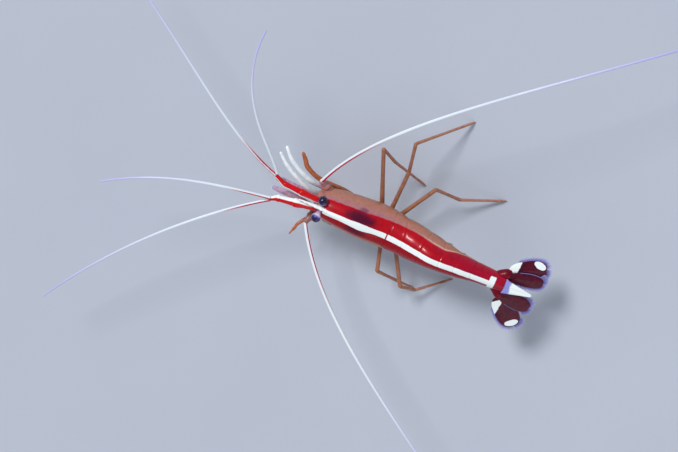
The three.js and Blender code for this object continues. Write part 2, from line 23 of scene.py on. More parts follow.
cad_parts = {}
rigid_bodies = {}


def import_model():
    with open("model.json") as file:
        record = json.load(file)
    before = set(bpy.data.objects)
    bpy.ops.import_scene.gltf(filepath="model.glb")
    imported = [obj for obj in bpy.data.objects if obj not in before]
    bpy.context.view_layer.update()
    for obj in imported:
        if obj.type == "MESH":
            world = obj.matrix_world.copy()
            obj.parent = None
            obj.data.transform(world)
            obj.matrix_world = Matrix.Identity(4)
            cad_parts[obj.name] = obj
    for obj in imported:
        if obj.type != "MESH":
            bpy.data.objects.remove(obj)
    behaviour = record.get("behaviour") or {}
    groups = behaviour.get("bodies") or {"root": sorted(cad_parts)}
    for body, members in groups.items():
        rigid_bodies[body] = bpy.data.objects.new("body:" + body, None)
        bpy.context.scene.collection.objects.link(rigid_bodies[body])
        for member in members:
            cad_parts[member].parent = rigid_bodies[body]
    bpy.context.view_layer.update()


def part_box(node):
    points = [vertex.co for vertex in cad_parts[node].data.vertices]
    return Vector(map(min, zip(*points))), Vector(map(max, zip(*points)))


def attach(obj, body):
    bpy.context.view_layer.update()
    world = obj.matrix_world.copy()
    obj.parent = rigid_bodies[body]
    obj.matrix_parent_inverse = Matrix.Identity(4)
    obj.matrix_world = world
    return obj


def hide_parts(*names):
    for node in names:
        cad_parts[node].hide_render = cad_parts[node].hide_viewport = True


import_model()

MM = 0.001
SMALLEST_TURN = 1e-5
LOG = logging.getLogger("shrimp")

Socket = bpy.types.NodeSocket
Colour = tuple[float, float, float]
Pair = tuple[float, float]
Triple = tuple[float, float, float]
Joint = tuple[float, float, float, float]
Line = tuple[Joint, ...]
Placing = Callable[[int, float, float], Vector]


class Side(Enum):
    """The animal's own sides, with the sign of Y on each."""

    RIGHT = 1
    LEFT = -1

    @property
    def label(self) -> str:
        """The side's word in the names of nodes and pieces."""
        return self.name.lower()


class Slot(Enum):
    """The record's material slots."""

    SHELL = "shell"
    FLESH = "flesh"
    FEELER = "feeler"
    EYE = "eye"
    LEG = "leg"
    SCALE = "scale"
    SWIMMERET = "swimmeret"
    FIN = "fin"


def animal_origin() -> Vector:
    """The middle of the carapace's rear edge, on the floor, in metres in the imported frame."""
    low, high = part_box("carapace")
    return Vector((high.x, (low.y + high.y) / 2, 0.0))


ORIGIN = animal_origin()


def metres(point: Iterable[float]) -> Vector:
    """A point of the animal, in millimetres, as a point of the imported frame."""
    return ORIGIN + Vector(point) * MM


def srgb(red: int, green: int, blue: int) -> Colour:
    """A colour given as screen values of 0 to 255, as linear light."""
    shares = (channel / 255 for channel in (red, green, blue))
    return tuple(c / 12.92 if c <= 0.04045 else ((c + 0.055) / 1.055) ** 2.4 for c in shares)


def smoothstep(value: float, low: float, high: float) -> float:
    """Rises smoothly from 0 at low to 1 at high."""
    share = min(1.0, max(0.0, (value - low) / (high - low)))
    return share * share * (3 - 2 * share)


def fuller(value: float, exponent: float) -> float:
    """A signed power, which squares off a circle into a fuller section."""
    return math.copysign(abs(value) ** (2 / exponent), value)


# --- Modelling ---


class Workpiece:
    """One new piece, modelled with Blender's operators as by hand, with its object at the origin."""

    sharp_degrees = 40.0

    def __init__(self, name: str) -> None:
        """Starts an empty piece and opens it for editing.

        Args:
            name: The finished piece's name.
        """
        bpy.ops.object.select_all(action="DESELECT")
        self.object = bpy.data.objects.new(name, bpy.data.meshes.new(name))
        bpy.context.scene.collection.objects.link(self.object)
        bpy.context.view_layer.objects.active = self.object
        self.object.select_set(True)
        bpy.ops.object.mode_set(mode="EDIT")

    def sweep(self, centres: Sequence[Vector], radii: Sequence[float], sides: int) -> None:
        """Extrudes a round section from centre to centre, turning and scaling it as it goes.

        Args:
            centres: The middle of each section.
            radii: The radius of each section.
            sides: How many sides the section has.
        """
        last = len(centres) - 1
        ways = [(centres[min(i + 1, last)] - centres[max(i - 1, 0)]).normalized() for i in range(last + 1)]
        bpy.ops.mesh.primitive_circle_add(
            vertices=sides,
            radius=radii[0] * MM,
            fill_type="NGON",
            location=metres(centres[0]),
            rotation=ways[0].to_track_quat("Z", "Y").to_euler(),
        )
        for i in range(1, last + 1):
            step = (centres[i] - centres[i - 1]) * MM
            bpy.ops.mesh.extrude_region_move(TRANSFORM_OT_translate={"value": step})
            here = metres(centres[i])
            turn_selected(ways[i - 1].rotation_difference(ways[i]), here)
            growth = radii[i] / radii[i - 1]
            bpy.ops.transform.resize(value=(growth, growth, growth), center_override=here)

    def ball(
        self, centre: Iterable[float], radii: Sequence[float], turn: Quaternion, facets: int = 32
    ) -> None:
        """Adds an ellipsoid, stretched along its own axes and then turned.

        Args:
            centre: Its middle.
            radii: Its half sizes along its own X, Y and Z.
            turn: The turn that is given to it after it is stretched.
            facets: How many sides it has round its Z axis.
        """
        here = metres(centre)
        bpy.ops.mesh.primitive_uv_sphere_add(
            segments=facets, ring_count=facets // 2, radius=MM, location=here
        )
        bpy.ops.transform.resize(value=radii, center_override=here)
        turn_selected(turn, here)

    def mould(self, rings: int, facets: int, place: Placing) -> None:
        """Adds a cylinder, cuts it into rings, and moves each vertex to its own place.

        Args:
            rings: How many lengths the cylinder is cut into.
            facets: How many sides it has.
            place: Gives each vertex's place.
        """
        bpy.ops.mesh.primitive_cylinder_add(vertices=facets, radius=1, depth=1, end_fill_type="TRIFAN")
        mesh = bmesh.from_edit_mesh(self.object.data)
        fresh = [vertex for vertex in mesh.verts if vertex.select]
        edges = {edge for vertex in fresh for edge in vertex.link_edges}
        upright = [edge for edge in edges if abs(edge.verts[0].co.z - edge.verts[1].co.z) > 0.5]
        bpy.ops.mesh.select_all(action="DESELECT")
        for edge in upright:
            edge.select_set(True)
        bmesh.update_edit_mesh(self.object.data)
        bpy.ops.mesh.subdivide(number_cuts=rings - 1)
        bpy.ops.mesh.select_linked()
        mesh = bmesh.from_edit_mesh(self.object.data)
        for vertex in mesh.verts:
            if vertex.select:
                ring = round((0.5 - vertex.co.z) * rings)
                across = math.hypot(vertex.co.x, vertex.co.y)
                vertex.co = metres(place(ring, math.atan2(vertex.co.y, vertex.co.x), across))
        bmesh.update_edit_mesh(self.object.data)

    def fuse(self, voxel: float, smoothing: int) -> None:
        """Makes one smooth skin of everything in the piece.

        Args:
            voxel: The size of the skin's faces.
            smoothing: How many times it is smoothed.
        """
        bpy.ops.object.mode_set(mode="OBJECT")
        self.object.data.remesh_voxel_size = voxel * MM
        bpy.ops.object.voxel_remesh()
        bpy.ops.object.modifier_add(type="SMOOTH")
        smooth = self.object.modifiers[-1]
        smooth.iterations = smoothing
        bpy.ops.object.modifier_apply(modifier=smooth.name)
        bpy.ops.object.mode_set(mode="EDIT")

    def mark(self, name: str, measure: Callable[[np.ndarray], np.ndarray]) -> None:
        """Writes a number on each vertex, for materials to read.

        Args:
            name: The attribute's name.
            measure: Gives the numbers from the vertices' places.
        """
        bpy.ops.object.mode_set(mode="OBJECT")
        mesh = self.object.data
        places = np.empty(len(mesh.vertices) * 3)
        mesh.vertices.foreach_get("co", places)
        numbers = measure((places.reshape(-1, 3) - np.array(ORIGIN)) / MM)
        mesh.attributes.new(name, "FLOAT", "POINT").data.foreach_set("value", numbers)
        bpy.ops.object.mode_set(mode="EDIT")

    def finish(self, paint: "Paint", slot: Slot, nodes: Sequence[str]) -> None:
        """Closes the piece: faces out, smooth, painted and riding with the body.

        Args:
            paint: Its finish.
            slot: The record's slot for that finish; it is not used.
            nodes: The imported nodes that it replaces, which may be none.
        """
        bpy.ops.mesh.select_all(action="SELECT")
        bpy.ops.mesh.normals_make_consistent(inside=False)
        bpy.ops.object.mode_set(mode="OBJECT")
        bpy.ops.object.shade_smooth_by_angle(angle=math.radians(self.sharp_degrees))
        dress(self.object, paint, nodes)


def turn_selected(turn: Quaternion, centre: Vector) -> None:
    """Turns what is selected about a point, one axis after another.

    Args:
        turn: The whole turn.
        centre: The point that stays in place, in metres.
    """
    for axis, angle in zip("XYZ", turn.to_euler("XYZ")):
        if abs(angle) > SMALLEST_TURN:
            bpy.ops.transform.rotate(
                value=-angle, orient_axis=axis, orient_type="GLOBAL", center_override=centre
            )


def dress(piece: bpy.types.Object, paint: "Paint", nodes: Sequence[str]) -> None:
    """Paints a finished piece and puts it in the frame.

    Args:
        piece: The finished object.
        paint: Its finish.
        nodes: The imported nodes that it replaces, which may be none.
    """
    piece.data.materials.clear()
    piece.data.materials.append(paint.build())
    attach(piece, "root")
    if nodes:
        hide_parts(*nodes)
    LOG.info("%s: %d faces", piece.name, len(piece.data.polygons))


# --- Node sketches ---


class Wire:
    """A number, place or colour in a node tree: arithmetic on it adds the nodes that work it out."""

    def __init__(self, sketch: "Sketch", socket: Socket) -> None:
        """Stands for one output of a node."""
        self.sketch = sketch
        self.socket = socket

    def math(self, operation: str, *others: "Value") -> "Wire":
        """One step of arithmetic on this number and others, wires or plain."""
        return self.sketch.wire("ShaderNodeMath", 0, dict(enumerate((self, *others))), operation=operation)

    def __add__(self, other: "Value") -> "Wire":
        """The sum of both."""
        return self.math("ADD", other)

    def __sub__(self, other: "Value") -> "Wire":
        """This less the other."""
        return self.math("SUBTRACT", other)

    def __mul__(self, other: "Value") -> "Wire":
        """The product of both."""
        return self.math("MULTIPLY", other)

    def __truediv__(self, other: "Value") -> "Wire":
        """This over the other."""
        return self.math("DIVIDE", other)

    def __abs__(self) -> "Wire":
        """The size without its sign."""
        return self.math("ABSOLUTE")

    def most(self, other: "Value") -> "Wire":
        """The larger of both."""
        return self.math("MAXIMUM", other)

    def ramp(self, low: float, high: float) -> "Wire":
        """Rises smoothly from 0 at low to 1 at high, or falls where high is the lower one."""
        inputs = {"Value": self, "From Min": low, "From Max": high}
        return self.sketch.wire("ShaderNodeMapRange", 0, inputs, interpolation_type="SMOOTHSTEP")

    def mix(self, plain: "Hue", other: "Hue") -> "Wire":
        """Goes from one colour to another as this number goes from 0 to 1."""
        return self.sketch.wire("ShaderNodeMix", 2, {0: self, 6: plain, 7: other}, data_type="RGBA")

    def split(self) -> tuple["Wire", ...]:
        """A place's X, Y and Z."""
        node = self.sketch.wire("ShaderNodeSeparateXYZ", 0, {0: self}).socket.node
        return tuple(Wire(self.sketch, output) for output in node.outputs)


Value = float | Wire
Hue = Colour | Wire


class Sketch:
    """A node tree being drawn: most methods add one step and return its output."""

    def __init__(self, tree: bpy.types.NodeTree) -> None:
        """Draws in this tree."""
        self.tree = tree

    def add(self, kind: str, **settings: object) -> bpy.types.Node:
        """Adds a node.

        Args:
            kind: The node's type name.
            **settings: Its settings by name.

        Returns:
            The node.
        """
        node = self.tree.nodes.new(kind)
        for setting, value in settings.items():
            setattr(node, setting, value)
        return node

    def feed(self, socket: Socket, value: object) -> None:
        """Links an input to a wire, or sets its plain value.

        Args:
            socket: The input.
            value: A wire, or what the input holds: a number, a vector or a colour.
        """
        if isinstance(value, Wire):
            self.tree.links.new(value.socket, socket)
        elif socket.type == "RGBA":
            socket.default_value = (*value, 1.0)
        else:
            socket.default_value = value

    def wire(self, kind: str, output: int | str, inputs: dict[int | str, object], **settings: object) -> Wire:
        """Adds a node and feeds it.

        Args:
            kind: The node's type name.
            output: The number or name of the output that is wanted.
            inputs: What each input gets, by its number or name.
            **settings: The node's settings by name.

        Returns:
            The output.
        """
        node = self.add(kind, **settings)
        for key, value in inputs.items():
            self.feed(node.inputs[key], value)
        return Wire(self, node.outputs[output])

    def noise(self, place: Wire, scale: float, detail: float = 2.0) -> Wire:
        """Cloudy noise between 0 and 1, with its scale in clouds per millimetre."""
        return self.wire("ShaderNodeTexNoise", 0, {"Vector": place, "Scale": scale, "Detail": detail})

    def cells(self, place: Wire, scale: float) -> Wire:
        """The distance to the nearest of scattered points, with its scale in points per millimetre."""
        return self.wire("ShaderNodeTexVoronoi", "Distance", {"Vector": place, "Scale": scale})

    def attribute(self, name: str) -> Wire:
        """A number that the piece's vertices carry."""
        return self.wire("ShaderNodeAttribute", "Fac", {}, attribute_name=name)

    def millimetres(self) -> Wire:
        """Object coordinates as the animal's millimetres.

        Returns:
            The place on the animal.
        """
        source = self.wire("ShaderNodeTexCoord", "Object", {})
        per_metre = 1 / MM
        inputs = {"Vector": source, "Location": -ORIGIN * per_metre, "Scale": (per_metre,) * 3}
        return self.wire("ShaderNodeMapping", 0, inputs)

    def group(self, effect: "SharedEffect", **values: object) -> dict[str, Wire]:
        """Places a shared effect.

        Args:
            effect: The effect.
            **values: A wire or a plain value for each of its inputs, by name.

        Returns:
            Its outputs by name.
        """
        node = self.add("ShaderNodeGroup", node_tree=effect.tree())
        for name, value in values.items():
            self.feed(node.inputs[name], value)
        return {output.name: Wire(self, output) for output in node.outputs}


class SharedEffect:
    """A node group that is built once, the first time that a material asks for it."""

    name = ""
    inputs: dict[str, str] = {}
    outputs: tuple[str, ...] = ()

    def tree(self) -> bpy.types.NodeTree:
        """The group, with its named sockets and its nodes.

        Returns:
            The node group.
        """
        made = bpy.data.node_groups.get(self.name)
        if made:
            return made
        made = bpy.data.node_groups.new(self.name, "ShaderNodeTree")
        for name, kind in self.inputs.items():
            made.interface.new_socket(name, in_out="INPUT", socket_type=kind)
        for name in self.outputs:
            made.interface.new_socket(name, in_out="OUTPUT", socket_type="NodeSocketFloat")
        sketch = Sketch(made)
        given = sketch.add("NodeGroupInput").outputs
        results = self.draw(sketch, *(Wire(sketch, given[name]) for name in self.inputs))
        taken = sketch.add("NodeGroupOutput").inputs
        for name, result in zip(self.outputs, results):
            sketch.feed(taken[name], result)
        return made

    def draw(self, sketch: Sketch, *given: Wire) -> tuple[Wire, ...]:
        """Draws the effect's nodes from its inputs and returns its outputs, both in their order."""
        raise NotImplementedError


class CuticleGrain(SharedEffect):
    """The fine relief of a shrimp's shell: shallow dimples, and cloudy wear in its gloss."""

    name = "cuticle_grain"
    inputs = {"Place": "NodeSocketVector", "Roughness": "NodeSocketFloat"}
    outputs = ("Height", "Roughness", "Cloud")
    dimples_per_mm = 5.0
    clouds_per_mm = 1.1
    wear = 0.16

    def draw(self, sketch: Sketch, place: Wire, roughness: Wire) -> tuple[Wire, ...]:
        """Lays the dimples over the clouds.

        Args:
            sketch: The group's tree.
            place: The place on the animal, in millimetres.
            roughness: The finish's roughness before wear.

        Returns:
            The relief, the worn roughness and the clouds.
        """
        cloud = sketch.noise(place, self.clouds_per_mm, 3.0)
        height = sketch.cells(place, self.dimples_per_mm) * 0.35 + cloud * 0.65
        return height, roughness + (cloud - 0.5) * self.wear, cloud


def oval(measures: tuple[Wire, Wire], middle: Pair, reach: Pair, uneven: Wire, edge: Pair) -> Wire:
    """A soft oval mark.

    Args:
        measures: How far along and across each place lies.
        middle: The mark's middle in both measures.
        reach: How far it reaches in both measures.
        uneven: Makes its outline uneven.
        edge: The shares of its reach at which it is gone and full.

    Returns:
        1 in its middle and 0 outside.
    """
    far = uneven * 0.5
    for measure, centre, half in zip(measures, middle, reach):
        share = (measure - centre) / half
        far = far + share * share
    return far.ramp(*edge)


class BackMarkings(SharedEffect):
    """Where the back is white and red: the stripe with its crossbar, the red band and its pale rim."""

    name = "back_markings"
    inputs = {"Place": "NodeSocketVector", "Turn": "NodeSocketFloat"}
    outputs = ("White", "Red", "Dark", "Rim", "Spot")
    stripe_half_width = 0.64
    stripe_end = 25.8
    bar_middle = 25.4
    bar_half_length = 0.7
    bar_half_width = 1.9
    red_limit = 46.0
    heart_edge = (1.35, 0.05)

    def draw(self, sketch: Sketch, place: Wire, turn: Wire) -> tuple[Wire, ...]:
        """Measures each marking from the middle of the back, with slightly uneven edges.

        Args:
            sketch: The group's tree.
            place: The place on the animal, in millimetres.
            turn: How far round from the middle of the back, in degrees.

        Returns:
            The white, red and dark shares, the red's pale rim, and the spot on the flank.
        """
        x, y, _ = place.split()
        waver = sketch.noise(place, 0.9) - 0.5
        shiver = sketch.noise(place, 3.2) - 0.5
        white = self.white(x, y, waver, shiver) * turn.ramp(88, 80)
        beyond = turn - self.limit(x, y) + waver * 5 + shiver * 3
        red = beyond.ramp(2.2, -2.2)
        rim = beyond.ramp(0.5, 3.0) * beyond.ramp(9.0, 4.0) * x.ramp(4.0, 12.0)
        right_heart = oval((x, y), (-6.9, 1.75), (4.2, 1.45), waver, self.heart_edge)
        left_heart = oval((x, y), (-7.2, -1.5), (3.0, 1.2), waver, self.heart_edge)
        spot = oval((x, turn), (-6.9, 50.0), (1.1, 9.0), waver, self.heart_edge)
        return white, red, right_heart.most(left_heart * 0.8), rim, spot * y.ramp(0.0, 0.5)

    def white(self, x: Wire, y: Wire, waver: Wire, shiver: Wire) -> Wire:
        """The stripe along the back, a little wider over the heart, and the crossbar at its end.

        Args:
            x: The place along the animal.
            y: The place across it.
            waver: Slow unevenness.
            shiver: Fine unevenness.

        Returns:
            1 where the back is white.
        """
        shifted = y + x.ramp(14.0, 24.0) * 0.32 + x.ramp(-11.0, -15.0) * 0.2
        half_width = x.ramp(-10.0, -7.0) * x.ramp(-3.0, -6.0) * 0.2 + self.stripe_half_width
        edge = abs(shifted + waver * 0.16) - half_width + shiver * 0.1
        seam = abs(x + 0.14).ramp(0.1, 0.2)
        stripe = edge.ramp(0.06, -0.06) * x.ramp(self.stripe_end, self.stripe_end - 0.2) * seam
        bar_length = abs(x - self.bar_middle) - self.bar_half_length
        bar_width = abs(shifted + 0.2) - self.bar_half_width
        bar_edge = bar_length.math("SMOOTH_MAX", bar_width, 0.5) + shiver * 0.2
        return stripe.most(bar_edge.ramp(0.08, -0.08))

    def limit(self, x: Wire, y: Wire) -> Wire:
        """The turn, in degrees, that the red reaches down to: further on the tail and on the left."""
        right = x.ramp(-3.0, 6.0) * 12.0 + x.ramp(12.0, 20.0) * 45.0 + self.red_limit
        return right + y.ramp(0.0, -0.5) * (x.ramp(-1.0, 1.5) * 20.0 - 8.0)


# --- Finishes ---

WHITE = srgb(246, 255, 255)
RED = srgb(188, 0, 20)
DEEP_RED = srgb(120, 2, 34)
MAROON = srgb(62, 2, 42)
TAN = srgb(176, 116, 96)
MAUVE = srgb(168, 112, 124)
RUST = srgb(162, 100, 70)
LILAC = srgb(150, 150, 220)


class Skin(Sketch):
    """A material being drawn, with the place on the animal and the shared grain to draw from."""

    def __init__(self, tree: bpy.types.NodeTree, roughness: float) -> None:
        """Starts with the grain.

        Args:
            tree: The material's tree.
            roughness: The finish's roughness before wear.
        """
        super().__init__(tree)
        self.place = self.millimetres()
        grain = self.group(CuticleGrain(), Place=self.place, Roughness=roughness)
        self.height, self.roughness, self.cloud = (grain[name] for name in CuticleGrain.outputs)


@dataclass(frozen=True)
class Paint:
    """A finish. Kinds of paint add their own colour, and an alpha where something shows through."""

    name: str
    roughness: float = 0.32
    coat: float = 0.3
    relief: float = 0.02
    subsurface: float = 0.0
    shine: float = 0.12
    coat_roughness: float = 0.12
    bump: float = 0.6
    light_depth: float = 0.8

    def build(self) -> bpy.types.Material:
        """Makes the paint's material, the first time that it is asked for.

        Returns:
            The material.
        """
        made = bpy.data.materials.get(self.name)
        if made:
            return made
        made = bpy.data.materials.new(self.name)
        made.use_nodes = True
        skin = Skin(made.node_tree, self.roughness)
        bump = {"Strength": self.bump, "Distance": self.relief * MM, "Height": self.height(skin)}
        inputs = {
            "Base Color": self.colour(skin),
            "Roughness": skin.roughness,
            "Normal": skin.wire("ShaderNodeBump", 0, bump),
            "Specular IOR Level": self.shine,
            "Coat Weight": self.coat,
            "Coat Roughness": self.coat_roughness,
            "Subsurface Weight": self.subsurface,
            "Subsurface Scale": self.light_depth * MM,
            "Alpha": self.alpha(skin),
        }
        shader = made.node_tree.nodes["Principled BSDF"]
        for name, value in inputs.items():
            skin.feed(shader.inputs[name], value)
        return made

    def colour(self, skin: Skin) -> Wire:
        """The base colour, which each kind of paint draws in its own way."""
        raise NotImplementedError

    def height(self, skin: Skin) -> Wire:
        """The relief, which is the grain unless a paint adds to it."""
        return skin.height

    def alpha(self, skin: Skin) -> Value:
        """How solid the surface is: nothing shows through unless a paint says so."""
        return 1.0


@dataclass(frozen=True)
class BackPaint(Paint):
    """The carapace and abdomen: white stripe, red bands, and tan flanks with fine red specks."""

    haze: Colour = srgb(192, 136, 114)
    speck: Colour = srgb(150, 50, 36)
    rim: Colour = srgb(226, 170, 150)
    hem: Colour = srgb(176, 92, 46)
    # painted light: a purplish red for the tail, standing in for the tint of blue light
    tail_blue_light_tint_red: Colour = srgb(158, 2, 52)
    # painted shade: a darker red for the left side, which faces away from the key light
    left_shade_red: Colour = srgb(134, 0, 24)
    spot: Colour = srgb(84, 24, 84)
    dull_white: Colour = srgb(226, 240, 244)

    def colour(self, skin: Skin) -> Wire:
        """Paints flank, rim, red and white over each other.

        Args:
            skin: The material being drawn.

        Returns:
            The base colour.
        """
        turn = skin.attribute("turn")
        marks = skin.group(BackMarkings(), Place=skin.place, Turn=turn)
        x, y, _ = skin.place.split()
        clouds = skin.cloud.ramp(0.3, 0.8) * 0.5
        specks = skin.cells(skin.place, 2.6).ramp(0.16, 0.06)
        hem = y.ramp(0.0, -0.5) * x.ramp(1.0, -1.0) * turn.ramp(74, 60)
        flank = turn.ramp(45, 78).mix(MAUVE, TAN)
        flank = turn.ramp(78, 112).mix(flank, RUST)
        flank = clouds.mix(flank, self.haze)
        flank = (specks * 0.3).mix(flank, self.speck)
        flank = marks["Rim"].mix(flank, self.rim)
        flank = (hem * 0.8).mix(flank, self.hem)
        # painted light: the red turns purplish towards the tail, as a tint of blue light
        red = (x.ramp(6.0, 22.0) * 0.6).mix(RED, self.tail_blue_light_tint_red)
        red = clouds.mix(red, DEEP_RED)
        # painted shade: the red darkens towards the left side, away from the key light
        red = (y.ramp(0.0, -1.0) * 0.55).mix(red, self.left_shade_red)
        red = (marks["Dark"] * 0.92).mix(red, MAROON)
        shell = marks["Red"].mix(flank, red)
        shell = (marks["Spot"] * 0.6).mix(shell, self.spot)
        white = (skin.cloud * 0.35).mix(WHITE, self.dull_white)
        return marks["White"].mix(shell, white)


@dataclass(frozen=True)
class RostrumPaint(Paint):
    """The rostrum: white along its top and red down its sides."""

    def colour(self, skin: Skin) -> Wire:
        """Goes from red below to white above, by the height on the blade."""
        uneven = skin.attribute("upper") + skin.cloud * 0.3
        return uneven.ramp(0.3, 0.5).mix(RED, WHITE)


@dataclass(frozen=True)
class CloudyPaint(Paint):
    """One colour that drifts to another in clouds, and changes towards the far end of the piece."""

    near: Colour = TAN
    far: Colour = TAN
    cloudy: Colour = MAUVE
    far_from: float = 0.0
    far_to: float = 1.0
    clarity: float = 1.0

    def colour(self, skin: Skin) -> Wire:
        """Mixes near and far by the share of the length, then lays the clouds over it."""
        share = skin.attribute("along").ramp(self.far_from, self.far_to)
        return skin.cloud.ramp(0.4, 0.8).mix(share.mix(self.near, self.far), self.cloudy)

    def alpha(self, skin: Skin) -> Value:
        """Slightly clear where the paint is, with denser clouds.

        Args:
            skin: The material being drawn.

        Returns:
            How solid the surface is.
        """
        if self.clarity >= 1.0:
            return 1.0
        solid = skin.noise(skin.place, 1.4) * 0.25 + (self.clarity - 0.12)
        return solid.math("MINIMUM", 1.0)


@dataclass(frozen=True)
class TwoTonePaint(Paint):
    """A stalk or feeler with one colour on its upper, inner edge and another on its other side."""

    edge: Colour = WHITE
    body: Colour = RED
    tip: Colour = WHITE
    body_until: float = 1.0
    balance: float = 0.0
    softness: float = 0.12
    rings_per_mm: float = 4.2

    def colour(self, skin: Skin) -> Wire:
        """Splits the colours by which way the surface faces, and fades the body colour along the piece.

        Args:
            skin: The material being drawn.

        Returns:
            The base colour.
        """
        along = skin.attribute("along")
        facing = skin.attribute("facing") + skin.cloud * 0.2
        pale = along.ramp(0.25, 1.0).mix(self.edge, self.tip)
        on_edge = facing.ramp(self.balance - self.softness, self.balance + self.softness)
        past = along.ramp(self.body_until * 0.35, self.body_until)
        return on_edge.most(past).mix(self.body, pale)

    def height(self, skin: Skin) -> Wire:
        """Adds the fine rings of a many-jointed feeler."""
        turns = skin.attribute("millimetres") * (self.rings_per_mm * 2 * math.pi)
        return turns.math("SINE") * 0.5 + skin.height


@dataclass(frozen=True)
class EyePaint(Paint):
    """A compound eye: dark blue-black over fine facets, paler where it meets its stalk."""

    dark: Colour = srgb(16, 9, 54)
    blue: Colour = srgb(50, 34, 124)
    violet: Colour = srgb(120, 104, 196)
    cup: Colour = srgb(226, 220, 242)
    facets_per_mm: float = 11.0

    def colour(self, skin: Skin) -> Wire:
        """Goes from the dark dome through a lilac rim to the stalk's cup.

        Args:
            skin: The material being drawn.

        Returns:
            The base colour.
        """
        outward = skin.attribute("outward") + (skin.cloud - 0.5) * 0.24
        dome = outward.ramp(0.2, 0.7).mix(self.blue, self.dark)
        rim = outward.ramp(-0.45, 0.05).mix(self.cup, self.violet)
        return outward.ramp(-0.02, 0.26).mix(rim, dome)

    def height(self, skin: Skin) -> Wire:
        """The eye's facets."""
        return skin.cells(skin.place, self.facets_per_mm)


@dataclass(frozen=True)
class FinPaint(Paint):
    """A tail blade: dark red, with a white base and a white spot, and a clear lilac margin."""

    white_from: float = -9.0
    white_until: float = 0.0
    white_slant: float = 0.0
    spot: Pair = (0.0, 0.0)
    spot_radii: Pair = (0.0, 0.0)
    spot_turn: float = 0.0
    all_white_from: float = 99.0
    lilac_until: float = 0.0
    light_red: Colour = srgb(88, 4, 32)
    dark_red: Colour = srgb(54, 2, 34)

    def colour(self, skin: Skin) -> Wire:
        """Lays the white marks and the margin over the dark red, by the place on the blade.

        Args:
            skin: The material being drawn.

        Returns:
            The base colour.
        """
        u, v, margin = (skin.attribute(name) for name in ("leaf_u", "leaf_v", "margin"))
        drift = skin.cloud - 0.5
        past_base = u - (v * self.white_slant + self.white_until) + drift * 0.7
        white = past_base.ramp(0.12, -0.12) * u.ramp(self.white_from - 0.1, self.white_from + 0.1)
        white = white.most(u.ramp(self.all_white_from - 0.2, self.all_white_from))
        if self.spot_radii[0] > 0:
            white = white.most(self.spot_share(u, v, drift))
        colour = white.mix(skin.cloud.ramp(0.3, 0.8).mix(self.light_red, self.dark_red), WHITE)
        if self.lilac_until > 0:
            root = (u + drift * 1.2).ramp(self.lilac_until, self.lilac_until - 0.5)
            colour = root.mix(colour, LILAC)
        return margin.ramp(0.2, 0.05).mix(colour, LILAC)

    def spot_share(self, u: Wire, v: Wire, drift: Wire) -> Wire:
        """The turned oval spot.

        Args:
            u: The place along the blade.
            v: The place across it.
            drift: Makes its outline uneven.

        Returns:
            1 inside the spot and 0 outside it.
        """
        cosine, sine = math.cos(math.radians(self.spot_turn)), math.sin(math.radians(self.spot_turn))
        du, dv = u - self.spot[0], v - self.spot[1]
        own = (du * cosine + dv * sine, dv * cosine - du * sine)
        return oval(own, (0.0, 0.0), self.spot_radii, drift, (1.12, 0.88))

    def height(self, skin: Skin) -> Wire:
        """Adds fine ribs that run along the blade."""
        ribs = (skin.attribute("leaf_v") * 14.0).math("SINE")
        return ribs * 0.35 + skin.height

    def alpha(self, skin: Skin) -> Value:
        """Solid inside and clear at the margin."""
        return skin.attribute("margin").ramp(0.0, 0.2) * 0.6 + 0.4


@dataclass(frozen=True)
class SetaPaint(Paint):
    """Fine hairs, paler and clearer towards their tips."""

    root: Colour = LILAC
    end: Colour = WHITE

    def colour(self, skin: Skin) -> Wire:
        """Pales along the hair."""
        share = skin.attribute("along") + skin.cloud * 0.3
        return share.ramp(0.1, 1.1).mix(self.root, self.end)

    def alpha(self, skin: Skin) -> Value:
        """Fades from the root to the tip."""
        return skin.attribute("along") * -0.35 + 0.75


# --- Lines, limbs and leaves ---


class Path:
    """A line through points, which tells where places lie along it."""

    def __init__(self, points: Sequence[Iterable[float]]) -> None:
        """Measures the line.

        Args:
            points: Its points.
        """
        self.points = np.array([tuple(point) for point in points])
        self.ways = np.diff(self.points, axis=0)
        self.steps = np.linalg.norm(self.ways, axis=1)
        self.before = np.concatenate(([0.0], np.cumsum(self.steps)))

    def feet(self, places: np.ndarray) -> tuple[np.ndarray, np.ndarray]:
        """The nearest point of the line to each place.

        Args:
            places: The places, one to a row.

        Returns:
            How many millimetres along the line each lies, and its offset from the line.
        """
        gaps = places[:, None, :] - self.points[None, :-1, :]
        shares = np.clip((gaps * self.ways).sum(axis=2) / self.steps**2, 0.0, 1.0)
        offsets = gaps - shares[:, :, None] * self.ways
        nearest = np.argmin((offsets**2).sum(axis=2), axis=1)
        rows = np.arange(len(places))
        return self.before[nearest] + shares[rows, nearest] * self.steps[nearest], offsets[rows, nearest]

    def mark(self, piece: Workpiece, edge_way: Iterable[float] = (0, 0, 1)) -> None:
        """Writes the numbers along, millimetres and facing on a piece that follows this line.

        Args:
            piece: The piece that follows the line.
            edge_way: The direction in which facing is 1.
        """
        towards = np.array(Vector(edge_way).normalized())
        piece.mark("along", lambda places: self.feet(places)[0] / self.before[-1])
        piece.mark("millimetres", lambda places: self.feet(places)[0])

        def facing(places: np.ndarray) -> np.ndarray:
            """Which side of the line each place is on, from -1 to 1."""
            offsets = self.feet(places)[1]
            return offsets @ towards / (np.linalg.norm(offsets, axis=1) + 1e-6)

        piece.mark("facing", facing)


